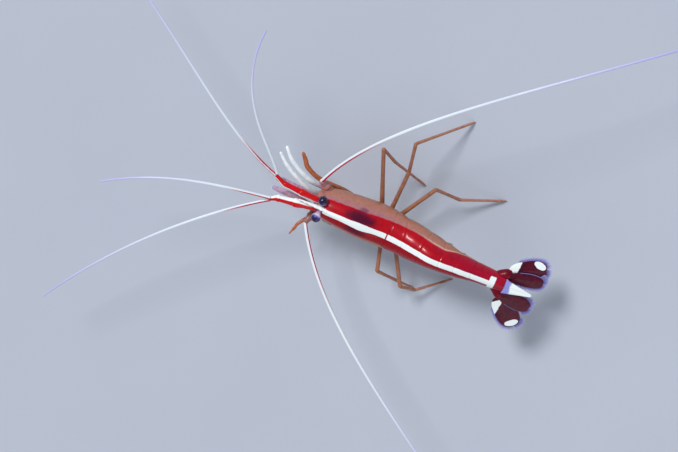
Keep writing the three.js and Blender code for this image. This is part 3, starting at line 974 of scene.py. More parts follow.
@dataclass(frozen=True)
class Limb:
    """A jointed limb: articles swollen at their far ends, or one curve where the limb is smooth."""

    joints: Line
    sides: int = 16
    smooth: bool = False

    def points(self) -> list[Vector]:
        """The joints' places."""
        return [Vector(joint[:3]) for joint in self.joints]

    def model(self, piece: Workpiece) -> None:
        """Adds the limb to a piece.

        Args:
            piece: The piece.
        """
        if self.smooth:
            piece.sweep(*smooth_limb(self.joints), self.sides)
            return
        for start, end in zip(self.joints, self.joints[1:]):
            self.article(piece, start, end)

    def article(self, piece: Workpiece, start: Joint, end: Joint) -> None:
        """Sweeps one article.

        Args:
            piece: The piece that it becomes part of.
            start: Its near joint, a place and the limb's radius there.
            end: Its far joint.
        """
        here, there = Vector(start[:3]), Vector(end[:3])
        way = (there - here).normalized()
        length = (there - here).length
        near, far = start[3], end[3]
        # how far past the near joint, and the radius there
        profile = (
            (-0.35 * near, 0.40 * near),
            (-0.10 * near, 0.74 * near),
            (0.40 * near, 0.92 * near),
            (0.25 * length, 0.70 * near + 0.18 * far),
            (0.55 * length, 0.42 * near + 0.45 * far),
            (0.85 * length, 0.95 * far),
            (length - 0.7 * far, 1.05 * far),
            (length - 0.1 * far, 1.06 * far),
            (length + 0.3 * far, 0.82 * far),
            (length + 0.5 * far, 0.42 * far),
        )
        kept = [row for row in profile if row[0] < 0.6 * length or row[0] > length - 0.75 * far]
        piece.sweep([here + way * past for past, _ in kept], [radius for _, radius in kept], self.sides)


# steps past the end of a smooth limb, and the radius there, as shares of its last radius
ROUND_TIP = ((0.4, 0.93), (0.3, 0.66), (0.5, 0.3))


def smooth_limb(joints: Line, steps: int = 9) -> tuple[list[Vector], list[float]]:
    """A curve through a limb's joints, for a limb whose articles run into each other.

    Args:
        joints: The joints, each a place and the limb's radius there.
        steps: How many steps the curve takes from joint to joint.

    Returns:
        The curve's points and the limb's radius at each.
    """
    rows = [np.array(joint) for joint in joints]
    rows = [2 * rows[0] - rows[1], *rows, 2 * rows[-1] - rows[-2]]
    centres, radii = [], []
    for before, here, there, after in zip(rows, rows[1:], rows[2:], rows[3:]):
        for step in range(steps):
            t = step / steps
            row = here + 0.5 * t * (there - before)
            row = row + 0.5 * t**2 * (2 * before - 5 * here + 4 * there - after)
            row = row + 0.5 * t**3 * (3 * here - before - 3 * there + after)
            swelling = 1 + 0.07 * math.exp(-((min(t, 1 - t) * steps) ** 2) / 1.5)
            centres.append(Vector(row[:3]))
            radii.append(float(row[3]) * swelling)
    centres.append(Vector(rows[-2][:3]))
    radii.append(float(rows[-2][3]))
    way = (centres[-1] - centres[-2]).normalized()
    last = radii[-1]
    for step, share in ROUND_TIP:
        centres.append(centres[-1] + way * last * step)
        radii.append(last * share)
    return centres, radii


@dataclass(frozen=True)
class Pincer:
    """The pincer at the end of a claw leg: a palm and two slightly curved fingers."""

    palm_length: float = 0.9
    palm_radius: float = 0.47
    finger_length: float = 1.2
    finger_radius: float = 0.23
    spread: float = 12.0
    finger_sides: int = 12
    # share of the length, and of the radius there
    palm_profile: tuple[Pair, ...] = ((-0.3, 0.5), (0.05, 0.92), (0.45, 1.0), (0.9, 0.84), (1.1, 0.4))
    finger_profile: tuple[Pair, ...] = ((0.0, 1.0), (0.35, 1.0), (0.7, 0.85), (0.9, 0.6), (1.0, 0.25))

    def model(self, piece: Workpiece, limb: Limb) -> None:
        """Adds the palm and fingers past the limb's last joint.

        Args:
            piece: The piece that they become part of.
            limb: The limb that carries them.
        """
        near, end = limb.points()[-2:]
        way = (end - near).normalized()
        hinge = way.cross(Vector((0, 0, 1))).normalized()
        palm = [end + way * (self.palm_length * share) for share, _ in self.palm_profile]
        piece.sweep(palm, [self.palm_radius * width for _, width in self.palm_profile], limb.sides)
        root = end + way * self.palm_length * 0.75
        for sign in (1, -1):
            centres = []
            for share, _ in self.finger_profile:
                angle = math.radians(sign * self.spread * (1 - share * 1.1))
                outward = way.copy()
                outward.rotate(Quaternion(hinge, angle))
                centres.append(root + outward * self.finger_length * (share + 0.2))
            radii = [self.finger_radius * width for _, width in self.finger_profile]
            piece.sweep(centres, radii, self.finger_sides)


@dataclass(frozen=True)
class Leaf:
    """A thin blade, lying along its heading and dipped by degrees: its outline is fullest past the middle."""

    root: Triple
    length: float
    width: float
    heading: float
    dip: float
    cant: float = 0.0
    outer: int = 1
    thickness: float = 0.34
    least_half_width: float = 0.02
    keel: float = 0.16
    keel_share: float = 0.16
    camber: float = 0.2
    squareness: float = 2.9
    rings: int = 44
    facets: int = 44

    def axes(self) -> Matrix:
        """The blade's turn.

        Returns:
            A turn that lays the blade's length along its X and its width along its Y.
        """
        turn = Matrix.Rotation(math.radians(self.heading), 3, "Z")
        turn @= Matrix.Rotation(math.radians(self.dip), 3, "Y")
        return turn @ Matrix.Rotation(math.radians(self.cant), 3, "X")

    def half_width(self, far: float) -> float:
        """Half the blade's width at a distance from its root."""
        share = min(1.0, max(0.0, far / self.length))
        return self.width / 2 * (4 * share * (1 - share)) ** (1 / self.squareness) * (0.78 + 0.32 * share)

    def surface(self, far: float, aside: float, above: float) -> Vector:
        """A place on the blade, arched over its width, in the animal's millimetres."""
        arch = -self.camber * (2 * aside / self.width) ** 2
        return Vector(self.root) + self.axes() @ Vector((far, aside, above + arch))

    def model(self, piece: Workpiece) -> None:
        """Moulds the blade."""
        piece.mould(self.rings, self.facets, self.place)

    def place(self, ring: int, angle: float, across: float) -> Vector:
        """The blade's placing: thin edges, a keel along its upper face, and rings that crowd to both ends.

        Args:
            ring: The ring's number from the root.
            angle: The angle round it.
            across: 1 on the surface and 0 in the middle.

        Returns:
            The vertex's place.
        """
        far = self.length * (1 - math.cos(math.pi * ring / self.rings)) / 2
        width = max(self.half_width(far), self.least_half_width)
        aside = math.cos(angle)
        rise = self.thickness / 2 * math.sin(angle)
        if math.sin(angle) > 0:
            rise += self.keel * math.exp(-((aside / self.keel_share) ** 2)) * (1 - far / self.length)
        return self.surface(far, -width * aside * across, rise * across)

    def local(self, places: np.ndarray) -> np.ndarray:
        """Places in the blade's own axes."""
        return (places - np.array(self.root)) @ np.array(self.axes())

    def margin(self, places: np.ndarray) -> np.ndarray:
        """The distance to the nearer of the side and the tip, and more near the root.

        Args:
            places: The vertices' places.

        Returns:
            Their distances.
        """
        own = self.local(places)
        widths = np.array([self.half_width(far) for far in own[:, 0]])
        from_side = widths - np.abs(own[:, 1]) + np.maximum(0.0, 0.3 * self.length - own[:, 0]) * 0.6
        return np.minimum(from_side, self.length - own[:, 0])

    def mark(self, piece: Workpiece, clear: bool = True) -> None:
        """Writes leaf_u and leaf_v, the place along and outwards, and margin, the distance from the edge.

        Args:
            piece: The piece that is this blade.
            clear: Whether it has a clear margin; a blade without one has a margin of 1 all over.
        """
        piece.mark("leaf_u", lambda places: self.local(places)[:, 0])
        piece.mark("leaf_v", lambda places: self.local(places)[:, 1] * self.outer)
        piece.mark("along", lambda places: self.local(places)[:, 0] / self.length)
        piece.mark("margin", self.margin if clear else lambda places: np.ones(len(places)))


@dataclass(frozen=True)
class Hair:
    """One fine hair: where it grows, its direction times its length, and how far its tip is bent aside.

    Its patch is its root's place on the unwrapped shape that it grows from, 0 to 1 both ways.
    """

    root: Vector
    way: Vector
    bend: Vector
    radius: float
    patch: Pair


@dataclass
class Fringe:
    """Many fine hairs, made as one mesh from arrays: each is a bent, three-sided spike."""

    name: str
    paint: Paint
    hairs: list[Hair] = field(default_factory=list)
    patch_size: float = 0.003
    blade_hair_radius: float = 0.028

    def build(self, slot: Slot) -> None:
        """Makes the mesh, with its unwrap, and dresses it.

        Args:
            slot: The record's slot for the hairs' finish; it is not used.
        """
        numbers = np.array([(*hair.root, *hair.way, *hair.bend) for hair in self.hairs])
        roots, ways, bends = np.hsplit(numbers, 3)
        radii = np.array([[hair.radius] for hair in self.hairs])
        units = ways / np.linalg.norm(ways, axis=1, keepdims=True)
        helper = np.where(np.abs(units[:, 2:3]) > 0.9, [[1.0, 0.0, 0.0]], [[0.0, 0.0, 1.0]])
        sides = np.cross(units, helper)
        sides /= np.linalg.norm(sides, axis=1, keepdims=True)
        ups = np.cross(sides, units)
        count = len(roots)
        points = np.empty((count, 7, 3))
        for row, (far, width) in enumerate(((0.0, 1.0), (0.5, 0.7))):
            for corner in range(3):
                angle = 2 * math.pi * corner / 3
                spoke = sides * math.cos(angle) + ups * math.sin(angle)
                points[:, row * 3 + corner] = roots + ways * far + bends * far**2 + spoke * radii * width
        points[:, 6] = roots + ways + bends
        quads = [(k, (k + 1) % 3, 3 + (k + 1) % 3, 3 + k) for k in range(3)]
        spikes = [(3 + k, 3 + (k + 1) % 3, 6) for k in range(3)]
        one = (*quads, *spikes, (2, 1, 0))
        faces = [tuple(7 * i + corner for corner in face) for i in range(count) for face in one]
        mesh = bpy.data.meshes.new(self.name)
        mesh.from_pydata((np.array(ORIGIN) + points.reshape(-1, 3) * MM).tolist(), [], faces)
        along = np.tile([0.0, 0.0, 0.0, 0.5, 0.5, 0.5, 1.0], count)
        mesh.attributes.new("along", "FLOAT", "POINT").data.foreach_set("value", along)
        self.unwrap(mesh)
        made = bpy.data.objects.new(self.name, mesh)
        bpy.context.scene.collection.objects.link(made)
        dress(made, self.paint, [])

    def unwrap(self, mesh: bpy.types.Mesh) -> None:
        """Gives each hair a small patch at its root's place on the map for baking.

        Args:
            mesh: The hairs' mesh.
        """
        corners = ((0, 0), (1, 0), (0.5, 0.3), (0, 0.6), (1, 0.6), (0.5, 0.8), (0.5, 1))
        layer = mesh.uv_layers.new(name="OFBake")
        for loop, target in zip(mesh.loops, layer.data):
            hair, corner = divmod(loop.vertex_index, 7)
            u, v = self.hairs[hair].patch
            target.uv = (u + corners[corner][0] * self.patch_size, v + corners[corner][1] * self.patch_size)

    def grow_round(
        self, leaf: Leaf, reach: float, starts: Pair, count: int, rng: np.random.Generator
    ) -> None:
        """Adds hairs round a blade's margin, from one side round its tip to the other.

        Args:
            leaf: The blade.
            reach: How long the hairs are.
            starts: The share of the blade's length at which they begin, on its left and right.
            count: How many there are on each side.
            rng: Draws each hair's small differences.
        """
        for sign, start in zip((1, -1), starts):
            first = math.acos(1 - 2 * start)
            for i in range(count):
                turn = first + (math.pi - first) * (i + rng.random()) / count
                far = leaf.length * (1 - math.cos(turn)) / 2
                aside = sign * leaf.half_width(far)
                ahead = leaf.length * (1 - math.cos(min(turn + 0.02, math.pi))) / 2
                slope = Vector((ahead - far + 1e-6, sign * leaf.half_width(ahead) - aside, 0)).normalized()
                outward = Vector((-slope.y, slope.x, 0)) * sign
                lean = 0.9 * (1 - smoothstep(far, 0.75 * leaf.length, leaf.length))
                way = (outward + Vector((lean, 0, 0)) + Vector(rng.normal(0, 0.05, 3))).normalized()
                size = reach * (0.85 + 0.25 * rng.random())
                way = leaf.axes() @ way * size * (0.5 + 0.5 * smoothstep(i, -1, 8))
                bend = leaf.axes() @ Vector((0.12 * reach, 0, -0.1 * reach))
                patch = (0.05 + 0.85 * far / leaf.length, 0.5 + 0.45 * aside / leaf.width)
                root = leaf.surface(far - 0.05, aside * 0.97, 0)
                self.hairs.append(Hair(root, way, bend, self.blade_hair_radius, patch))


# --- The animal ---

Edge = Callable[[float], float]
UP: Triple = (0.0, 0.0, 1.0)


@dataclass(frozen=True)
class Trunk:
    """The carapace and abdomen: cross-sections from head to tail, and the plates laid over them."""

    # x, half width, top, level where it is widest, bottom
    stations: tuple[tuple[float, ...], ...] = (
        (-17.0, 2.9, 17.4, 13.9, 10.6),
        (-14.0, 3.7, 18.2, 13.7, 9.6),
        (-7.0, 4.4, 18.4, 13.4, 8.7),
        (-1.5, 4.6, 17.4, 12.9, 8.7),
        (2.5, 4.2, 17.6, 13.5, 9.3),
        (6.5, 4.0, 18.6, 14.2, 9.8),
        (11.2, 3.4, 19.7, 14.7, 10.6),
        (17.0, 2.75, 18.7, 15.5, 12.6),
        (22.5, 2.15, 17.4, 14.9, 12.8),
        (28.4, 1.9, 16.5, 14.7, 13.2),
    )
    # rear edge on the back, how much further back on the flank, and how round the side plate is below
    segments: tuple[Triple, ...] = (
        (3.6, -0.9, 0.35),
        (7.8, 1.0, 0.55),
        (12.7, -0.2, 0.5),
        (16.3, 0.5, 0.4),
        (20.3, 0.5, 0.35),
        (28.2, 0.0, 0.1),
    )
    upper_roundness: float = 2.0
    lower_roundness: float = 2.6
    facets: int = 96
    body_rings: int = 14
    front: float = -15.3
    cheek: float = 1.6
    spine: float = 0.7
    crest: float = 0.32
    vault_width: float = 0.56
    vault_depth: float = 1.5
    groove_depth: float = 0.1
    groove_width: float = 0.5
    groove_front: float = -7.4
    groove_slant: float = 3.4
    plate_swell: float = 0.04
    # rings at a plate's front and rear: distance behind the edge, and how far they stand out
    rim: tuple[Pair, ...] = ((1.1, -0.7), (0.5, -0.3), (0.1, -0.16), (0.0, -0.06), (0.08, 0.02), (0.3, 0.0))
    tuck: tuple[Pair, ...] = ((-0.9, -0.5), (-0.5, -0.24), (-0.12, -0.1), (0.25, -0.02))
    lip: tuple[Pair, ...] = (
        (-0.55, 0.01), (-0.3, 0.03), (-0.1, 0.035), (0.0, 0.015), (0.02, -0.02), (0.0, -0.07), (-0.25, -0.16)
    )

    def section(self, x: float) -> np.ndarray:
        """The cross-section at x, by a smooth curve through the stations.

        Args:
            x: The place along the animal.

        Returns:
            Half width, top, widest level and bottom.
        """
        rows = np.array(self.stations)
        x = min(rows[-1, 0] - 1e-6, max(rows[0, 0], x))
        i = max(k for k in range(len(rows) - 1) if rows[k, 0] <= x)
        here, there = rows[i], rows[i + 1]
        before, after = rows[max(i - 1, 0)], rows[min(i + 2, len(rows) - 1)]
        run = there[0] - here[0]
        t = (x - here[0]) / run
        leave = (there - before) / (there[0] - before[0]) * run
        arrive = (after - here) / (after[0] - here[0]) * run
        first = here * (2 * t**3 - 3 * t**2 + 1) + leave * (t**3 - 2 * t**2 + t)
        return (first + there * (3 * t**2 - 2 * t**3) + arrive * (t**3 - t**2))[1:]

    def point(self, x: float, angle: float, across: float, grow: float, lift: float) -> Vector:
        """A place on the trunk's surface, with the vault of the belly between the side plates.

        Args:
            x: The place along the animal.
            angle: 0 on the right flank, a quarter turn on the back.
            across: 1 on the surface and 0 in the middle.
            grow: How far the surface stands out.
            lift: How far its lower edge is moved down.

        Returns:
            The place.
        """
        half_width, top, middle, bottom = self.section(x)
        upward = math.sin(angle) > 0
        height = top - middle if upward else middle - bottom + lift
        roundness = self.upper_roundness if upward else self.lower_roundness
        y = (half_width + grow) * fuller(math.cos(angle), roundness)
        z = middle + (height + grow) * fuller(math.sin(angle), roundness)
        inside = 1 - (y / (self.vault_width * half_width)) ** 2
        if upward:
            z += self.crest * smoothstep(x, -8.0, -15.0) * math.exp(-((y / 0.45) ** 2))
        elif inside > 0:
            vault = self.vault_depth * smoothstep(x, -13.0, -9.0) * smoothstep(x, 21.5, 18.5)
            z = max(z, bottom + vault * math.sqrt(inside))
        return Vector((x, y * across, middle + (z - middle) * across))

    def turns(self, places: np.ndarray) -> np.ndarray:
        """How far round from the middle of the back each place lies.

        Args:
            places: The vertices' places.

        Returns:
            Their turns in degrees.
        """
        steps = np.linspace(self.stations[0][0], self.stations[-1][0], 200)
        table = np.array([self.section(x) for x in steps])
        half_width, top, middle, bottom = (np.interp(places[:, 0], steps, table[:, k]) for k in range(4))
        height = np.where(places[:, 2] > middle, top - middle, middle - bottom)
        return np.degrees(np.arctan2(np.abs(places[:, 1]) / half_width, (places[:, 2] - middle) / height))

    def flankness(self, angle: float) -> float:
        """0 on the back and 1 at the level where the trunk is widest and below it."""
        return min(1.0, 1 - math.sin(angle))

    def edge(self, index: int) -> Edge:
        """The rear edge of a segment as x by angle; index -1 is the carapace."""
        rear, flank, _ = self.segments[index] if index >= 0 else (0.0, 0.0, 0.0)
        return lambda angle: rear + flank * self.flankness(angle)

    def cheek_edge(self, angle: float) -> float:
        """The carapace's front edge as x, with a small spine below each eye."""
        below_eye = math.exp(-(((abs(math.cos(angle)) - 0.97) / 0.03) ** 2)) * (math.sin(angle) > 0)
        return self.front - self.cheek * self.flankness(angle) - self.spine * below_eye

    def plate(self, name: str, front: Edge, rear: Edge, starts: Sequence[Pair], lobe: float) -> Workpiece:
        """Moulds one plate, with a tucked front and a thick, slightly flared rear edge.

        Args:
            name: The piece's name.
            front: Its front edge as x by angle.
            rear: Its rear edge as x by angle.
            starts: The rings at its front edge.
            lobe: How far its lower corners are rounded up.

        Returns:
            The piece, open for editing.
        """
        shares = [i / self.body_rings for i in range(1, self.body_rings)]
        rings = [(0.0, shift, grow) for shift, grow in starts]
        rings += [(share, 0.0, self.plate_swell * math.sin(math.pi * share)) for share in shares]
        rings += [(1.0, shift, grow) for shift, grow in self.lip]

        def place(ring: int, angle: float, across: float) -> Vector:
            """Lays each ring between the plate's two edges, with the rings of the body drawn together.

            Args:
                ring: The ring's number from the front.
                angle: The angle round the trunk.
                across: 1 on the surface and 0 in the middle.

            Returns:
                The vertex's place.
            """
            share, shift, grow = rings[ring]
            start, end = front(angle), rear(angle)
            drawn = 0.3 * (1 - 2 * share) * (1 - abs(1 - 2 * share))
            x = start + (end - start) * share + shift + drawn
            along = min(1.0, max(0.0, (x - start) / (end - start)))
            lift = lobe * (math.sqrt(max(0.0, math.sin(math.pi * along))) - 1)
            return self.point(x, angle, across, grow + self.groove(x, angle), lift)

        piece = Workpiece(name)
        piece.mould(len(rings) - 1, self.facets, place)
        piece.mark("turn", self.turns)
        return piece

    def groove(self, x: float, angle: float) -> float:
        """How far the furrow that runs down and forward over the carapace's side moves its surface."""
        behind = (x - self.groove_front + self.groove_slant * self.flankness(angle)) / self.groove_width
        return -self.groove_depth * math.exp(-(behind**2)) * smoothstep(self.flankness(angle), 0.1, 0.4)

    def build(self) -> None:
        """Builds the carapace and the six abdominal plates."""
        paint = BackPaint("shell_back", roughness=0.3, coat=0.28, relief=0.03)
        shell = self.plate("carapace_shell", self.cheek_edge, self.edge(-1), self.rim, 0.0)
        shell.finish(paint, Slot.SHELL, ["carapace"])
        for index, (_, _, lobe) in enumerate(self.segments):
            name = f"abdomen_{index + 1}"
            piece = self.plate(f"{name}_plate", self.edge(index - 1), self.edge(index), self.tuck, lobe)
            piece.finish(paint, Slot.SHELL, [name])


@dataclass(frozen=True)
class Rostrum:
    """The toothed blade between the eyes."""

    base: float = -13.6
    tip: float = -21.4
    level: float = 18.0
    depth: float = 1.1
    rise: float = 0.34
    teeth: int = 6
    tooth: float = 0.34
    half_width: float = 0.62
    tip_half_width: float = 0.14
    roundness: float = 2.4
    rings: int = 84
    facets: int = 20

    def heights(self, share: float) -> Pair:
        """The blade's lower and upper edge, whose teeth rise slowly and fall steeply.

        Args:
            share: The share of its length.

        Returns:
            Its bottom and top there.
        """
        back = 1 - share
        bottom = self.level - self.depth * (2.3 * share * back + back**2)
        step = share * self.teeth % 1
        tooth = self.tooth * min(step / 0.8, (1 - step) / 0.2) * smoothstep(share, 0.0, 0.15)
        return bottom, self.level + self.rise * back + tooth * (1 - 0.4 * share)

    def place(self, ring: int, angle: float, across: float) -> Vector:
        """The blade's placing: sections are widest low down and thin along the toothed edge.

        Args:
            ring: The ring's number from the base.
            angle: The angle round it.
            across: 1 on the surface and 0 in the middle.

        Returns:
            The vertex's place.
        """
        share = ring / self.rings
        bottom, top = self.heights(share)
        width = self.half_width + (self.tip_half_width - self.half_width) * share**0.8
        thin = 1 - 0.55 * max(0.0, math.sin(angle)) ** 3
        y = width * thin * fuller(math.cos(angle), self.roundness)
        z = (bottom + top) / 2 + (top - bottom) / 2 * fuller(math.sin(angle), self.roundness) * across
        return Vector((self.base + (self.tip - self.base) * share, y * across, z))

    def upper(self, places: np.ndarray) -> np.ndarray:
        """How high on the blade each place is.

        Args:
            places: The vertices' places.

        Returns:
            0 at the blade's lower edge and 1 at its upper edge.
        """
        shares = np.clip((places[:, 0] - self.base) / (self.tip - self.base), 0, 1)
        bottoms = np.array([self.heights(share)[0] for share in shares])
        return np.clip((places[:, 2] - bottoms) / (self.level + self.rise - bottoms + 0.05), 0, 1)

    def build(self) -> None:
        """Moulds the blade and marks how high each place is on it."""
        piece = Workpiece("rostrum_blade")
        piece.mould(self.rings, self.facets, self.place)
        piece.mark("upper", self.upper)
        piece.finish(RostrumPaint("shell_rostrum", roughness=0.3), Slot.SHELL, ["rostrum"])


@dataclass(frozen=True)
class Underbody:
    """One soft skin over face, breast and mouth."""

    nodes: tuple[str, ...] = ("face", "thorax", "mouthparts")
    fill: float = 0.98
    leg_roots: tuple[float, ...] = (-11.6, -9.0, -6.2, -3.6, -1.2)
    # middle on the right side, half sizes and facets of the swellings that carry feelers and eyes
    head_swellings: tuple[tuple[Triple, Triple, int], ...] = (
        ((-16.4, 1.5, 14.0), (1.7, 1.3, 1.9), 24),
        ((-16.3, 0.7, 16.4), (0.9, 0.7, 0.8), 20),
    )
    voxel: float = 0.13
    smoothing: int = 6

    def build(self) -> None:
        """Fuses a ball for each node, and ridges between the legs, into one skin."""
        piece = Workpiece("underbody_skin")
        flat = Quaternion()
        for node in self.nodes:
            low, high = ((corner - ORIGIN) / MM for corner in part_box(node))
            piece.ball((low + high) / 2, (high - low) / 2 * self.fill, flat)
        for x in self.leg_roots:
            for side in Side:
                piece.ball((x, side.value * 1.3, 8.8), (1.2, 0.85, 1.0), flat, 20)
        for side in Side:
            for (x, y, z), radii, facets in self.head_swellings:
                piece.ball((x, side.value * y, z), radii, flat, facets)
        piece.fuse(self.voxel, self.smoothing)
        piece.mark("along", lambda places: (places[:, 0] + 18.0) / 20.0)
        paint = CloudyPaint(
            "flesh_underbody", roughness=0.45, coat=0.25, relief=0.04, subsurface=0.15,
            near=srgb(168, 112, 108), far=srgb(188, 132, 108), cloudy=srgb(206, 164, 150),
        )
        piece.finish(paint, Slot.FLESH, self.nodes)


@dataclass(frozen=True)
class MouthPalps:
    """The small jointed palps and plates that close the mouth from below."""

    reach: tuple[float, ...] = (0.55, 0.85, 1.2)
    radii: Triple = (0.42, 0.34, 0.2)

    def build(self) -> None:
        """Curls three pairs of palps forward and down from the mouth."""
        piece = Workpiece("mouth_palps")
        for order, out in enumerate(self.reach):
            for side in Side:
                root = Vector((-14.2 - 0.5 * order, side.value * out * 0.8, 9.6 + 0.1 * order))
                bend = root + Vector((-1.3, side.value * 0.35, -0.9 + 0.2 * order))
                end = bend + Vector((-1.5, -side.value * 0.25, 0.45))
                joints = tuple((*place, radius) for place, radius in zip((root, bend, end), self.radii))
                Limb(joints, sides=12).model(piece)
        piece.mark("along", lambda places: (-14.0 - places[:, 0]) / 4.0)
        paint = CloudyPaint(
            "flesh_palps", roughness=0.4,
            near=srgb(186, 130, 104), far=srgb(222, 206, 200), cloudy=srgb(200, 130, 110),
        )
        piece.finish(paint, Slot.FLESH, [])


@dataclass(frozen=True)
class Eye:
    """A stalked compound eye; the right one stands a little further in."""

    side: Side
    centre: Triple = (-16.15, 2.3, 18.2)
    root: Triple = (-15.9, 0.7, 16.6)
    radius: float = 1.12
    flatness: float = 0.95
    right_inward: float = 0.18
    # share of the way from the root to the centre, and the stalk's radius there
    stem: tuple[Pair, ...] = (
        (-0.3, 0.5), (0.1, 0.6), (0.45, 0.6), (0.62, 0.72),
        (0.78, 0.94), (0.86, 1.0), (0.9, 0.98), (0.93, 0.86),
    )

    def build(self) -> None:
        """Builds the dome and its stalk, whose cup holds the dome's lower third."""
        inward = self.right_inward if self.side is Side.RIGHT else 0.0
        centre = Vector((self.centre[0], (self.centre[1] - inward) * self.side.value, self.centre[2]))
        root = Vector((self.root[0], self.root[1] * self.side.value, self.root[2]))
        way = (centre - root).normalized()
        dome = Workpiece(f"eye_{self.side.label}_dome")
        radii = (self.radius, self.radius, self.radius * self.flatness)
        dome.ball(centre, radii, way.to_track_quat("Z", "Y"), 64)
        dome.mark("outward", lambda places: (places - np.array(centre)) @ np.array(way) / self.radius)
        paint = EyePaint("eye_dome", roughness=0.12, coat=1.0, relief=0.012)
        dome.finish(paint, Slot.EYE, [f"eye_{self.side.label}"])
        stalk = Workpiece(f"eyestalk_{self.side.label}_stem")
        run = (centre - root).length
        stalk.sweep([root + way * run * far for far, _ in self.stem], [radius for _, radius in self.stem], 32)
        Path([root, centre]).mark(stalk)
        stem_paint = CloudyPaint(
            "flesh_eyestalk", roughness=0.35, far_from=0.2, far_to=0.75,
            near=srgb(150, 60, 80), far=srgb(214, 200, 226), cloudy=srgb(176, 150, 190),
        )
        stalk.finish(stem_paint, Slot.FLESH, [f"eyestalk_{self.side.label}"])


@dataclass(frozen=True)
class Feeler:
    """A long feeler: its heading settles near the base and then curls evenly, and its pitch drifts."""

    name: str
    base: Triple
    # heading, how far that settles, curl, pitch and how far that drifts, in degrees
    bends: tuple[float, float, float, float, float]
    length: float
    edge_way: Triple = UP
    radii: Pair = (0.34, 0.2)
    settling: int = 4
    swelling: float = 0.15
    steps_per_mm: float = 1.6
    sides: int = 10

    def centres(self) -> list[Vector]:
        """The feeler's middle line.

        Returns:
            Its points from the base to the tip.
        """
        heading, settle, curl, pitch, drift = self.bends
        count = round(self.length * self.steps_per_mm)
        points = [Vector(self.base)]
        for i in range(count):
            s = (i + 0.5) / count
            turn = math.radians(heading + settle * (1 - (1 - s) ** self.settling) + curl * s)
            rise = math.radians(pitch + drift * s)
            way = Vector((math.cos(rise) * math.cos(turn), math.cos(rise) * math.sin(turn), math.sin(rise)))
            points.append(points[-1] + way * self.length / count)
        return points

    def build(self, paint: Paint) -> None:
        """Sweeps the feeler with a slight swelling at its root and a rounded tip.

        Args:
            paint: Its finish.
        """
        centres = self.centres()
        last = len(centres) - 1
        base, tip = self.radii
        swell = [self.swelling * base * math.exp(-i / 1.3) for i in range(last + 1)]
        radii = [base + (tip - base) * i / last + swell[i] for i in range(last + 1)]
        radii[-1] *= 0.45
        piece = Workpiece(f"{self.name}_strand")
        piece.sweep(centres, radii, self.sides)
        Path(centres).mark(piece, self.edge_way)
        piece.finish(paint, Slot.FEELER, [self.name])


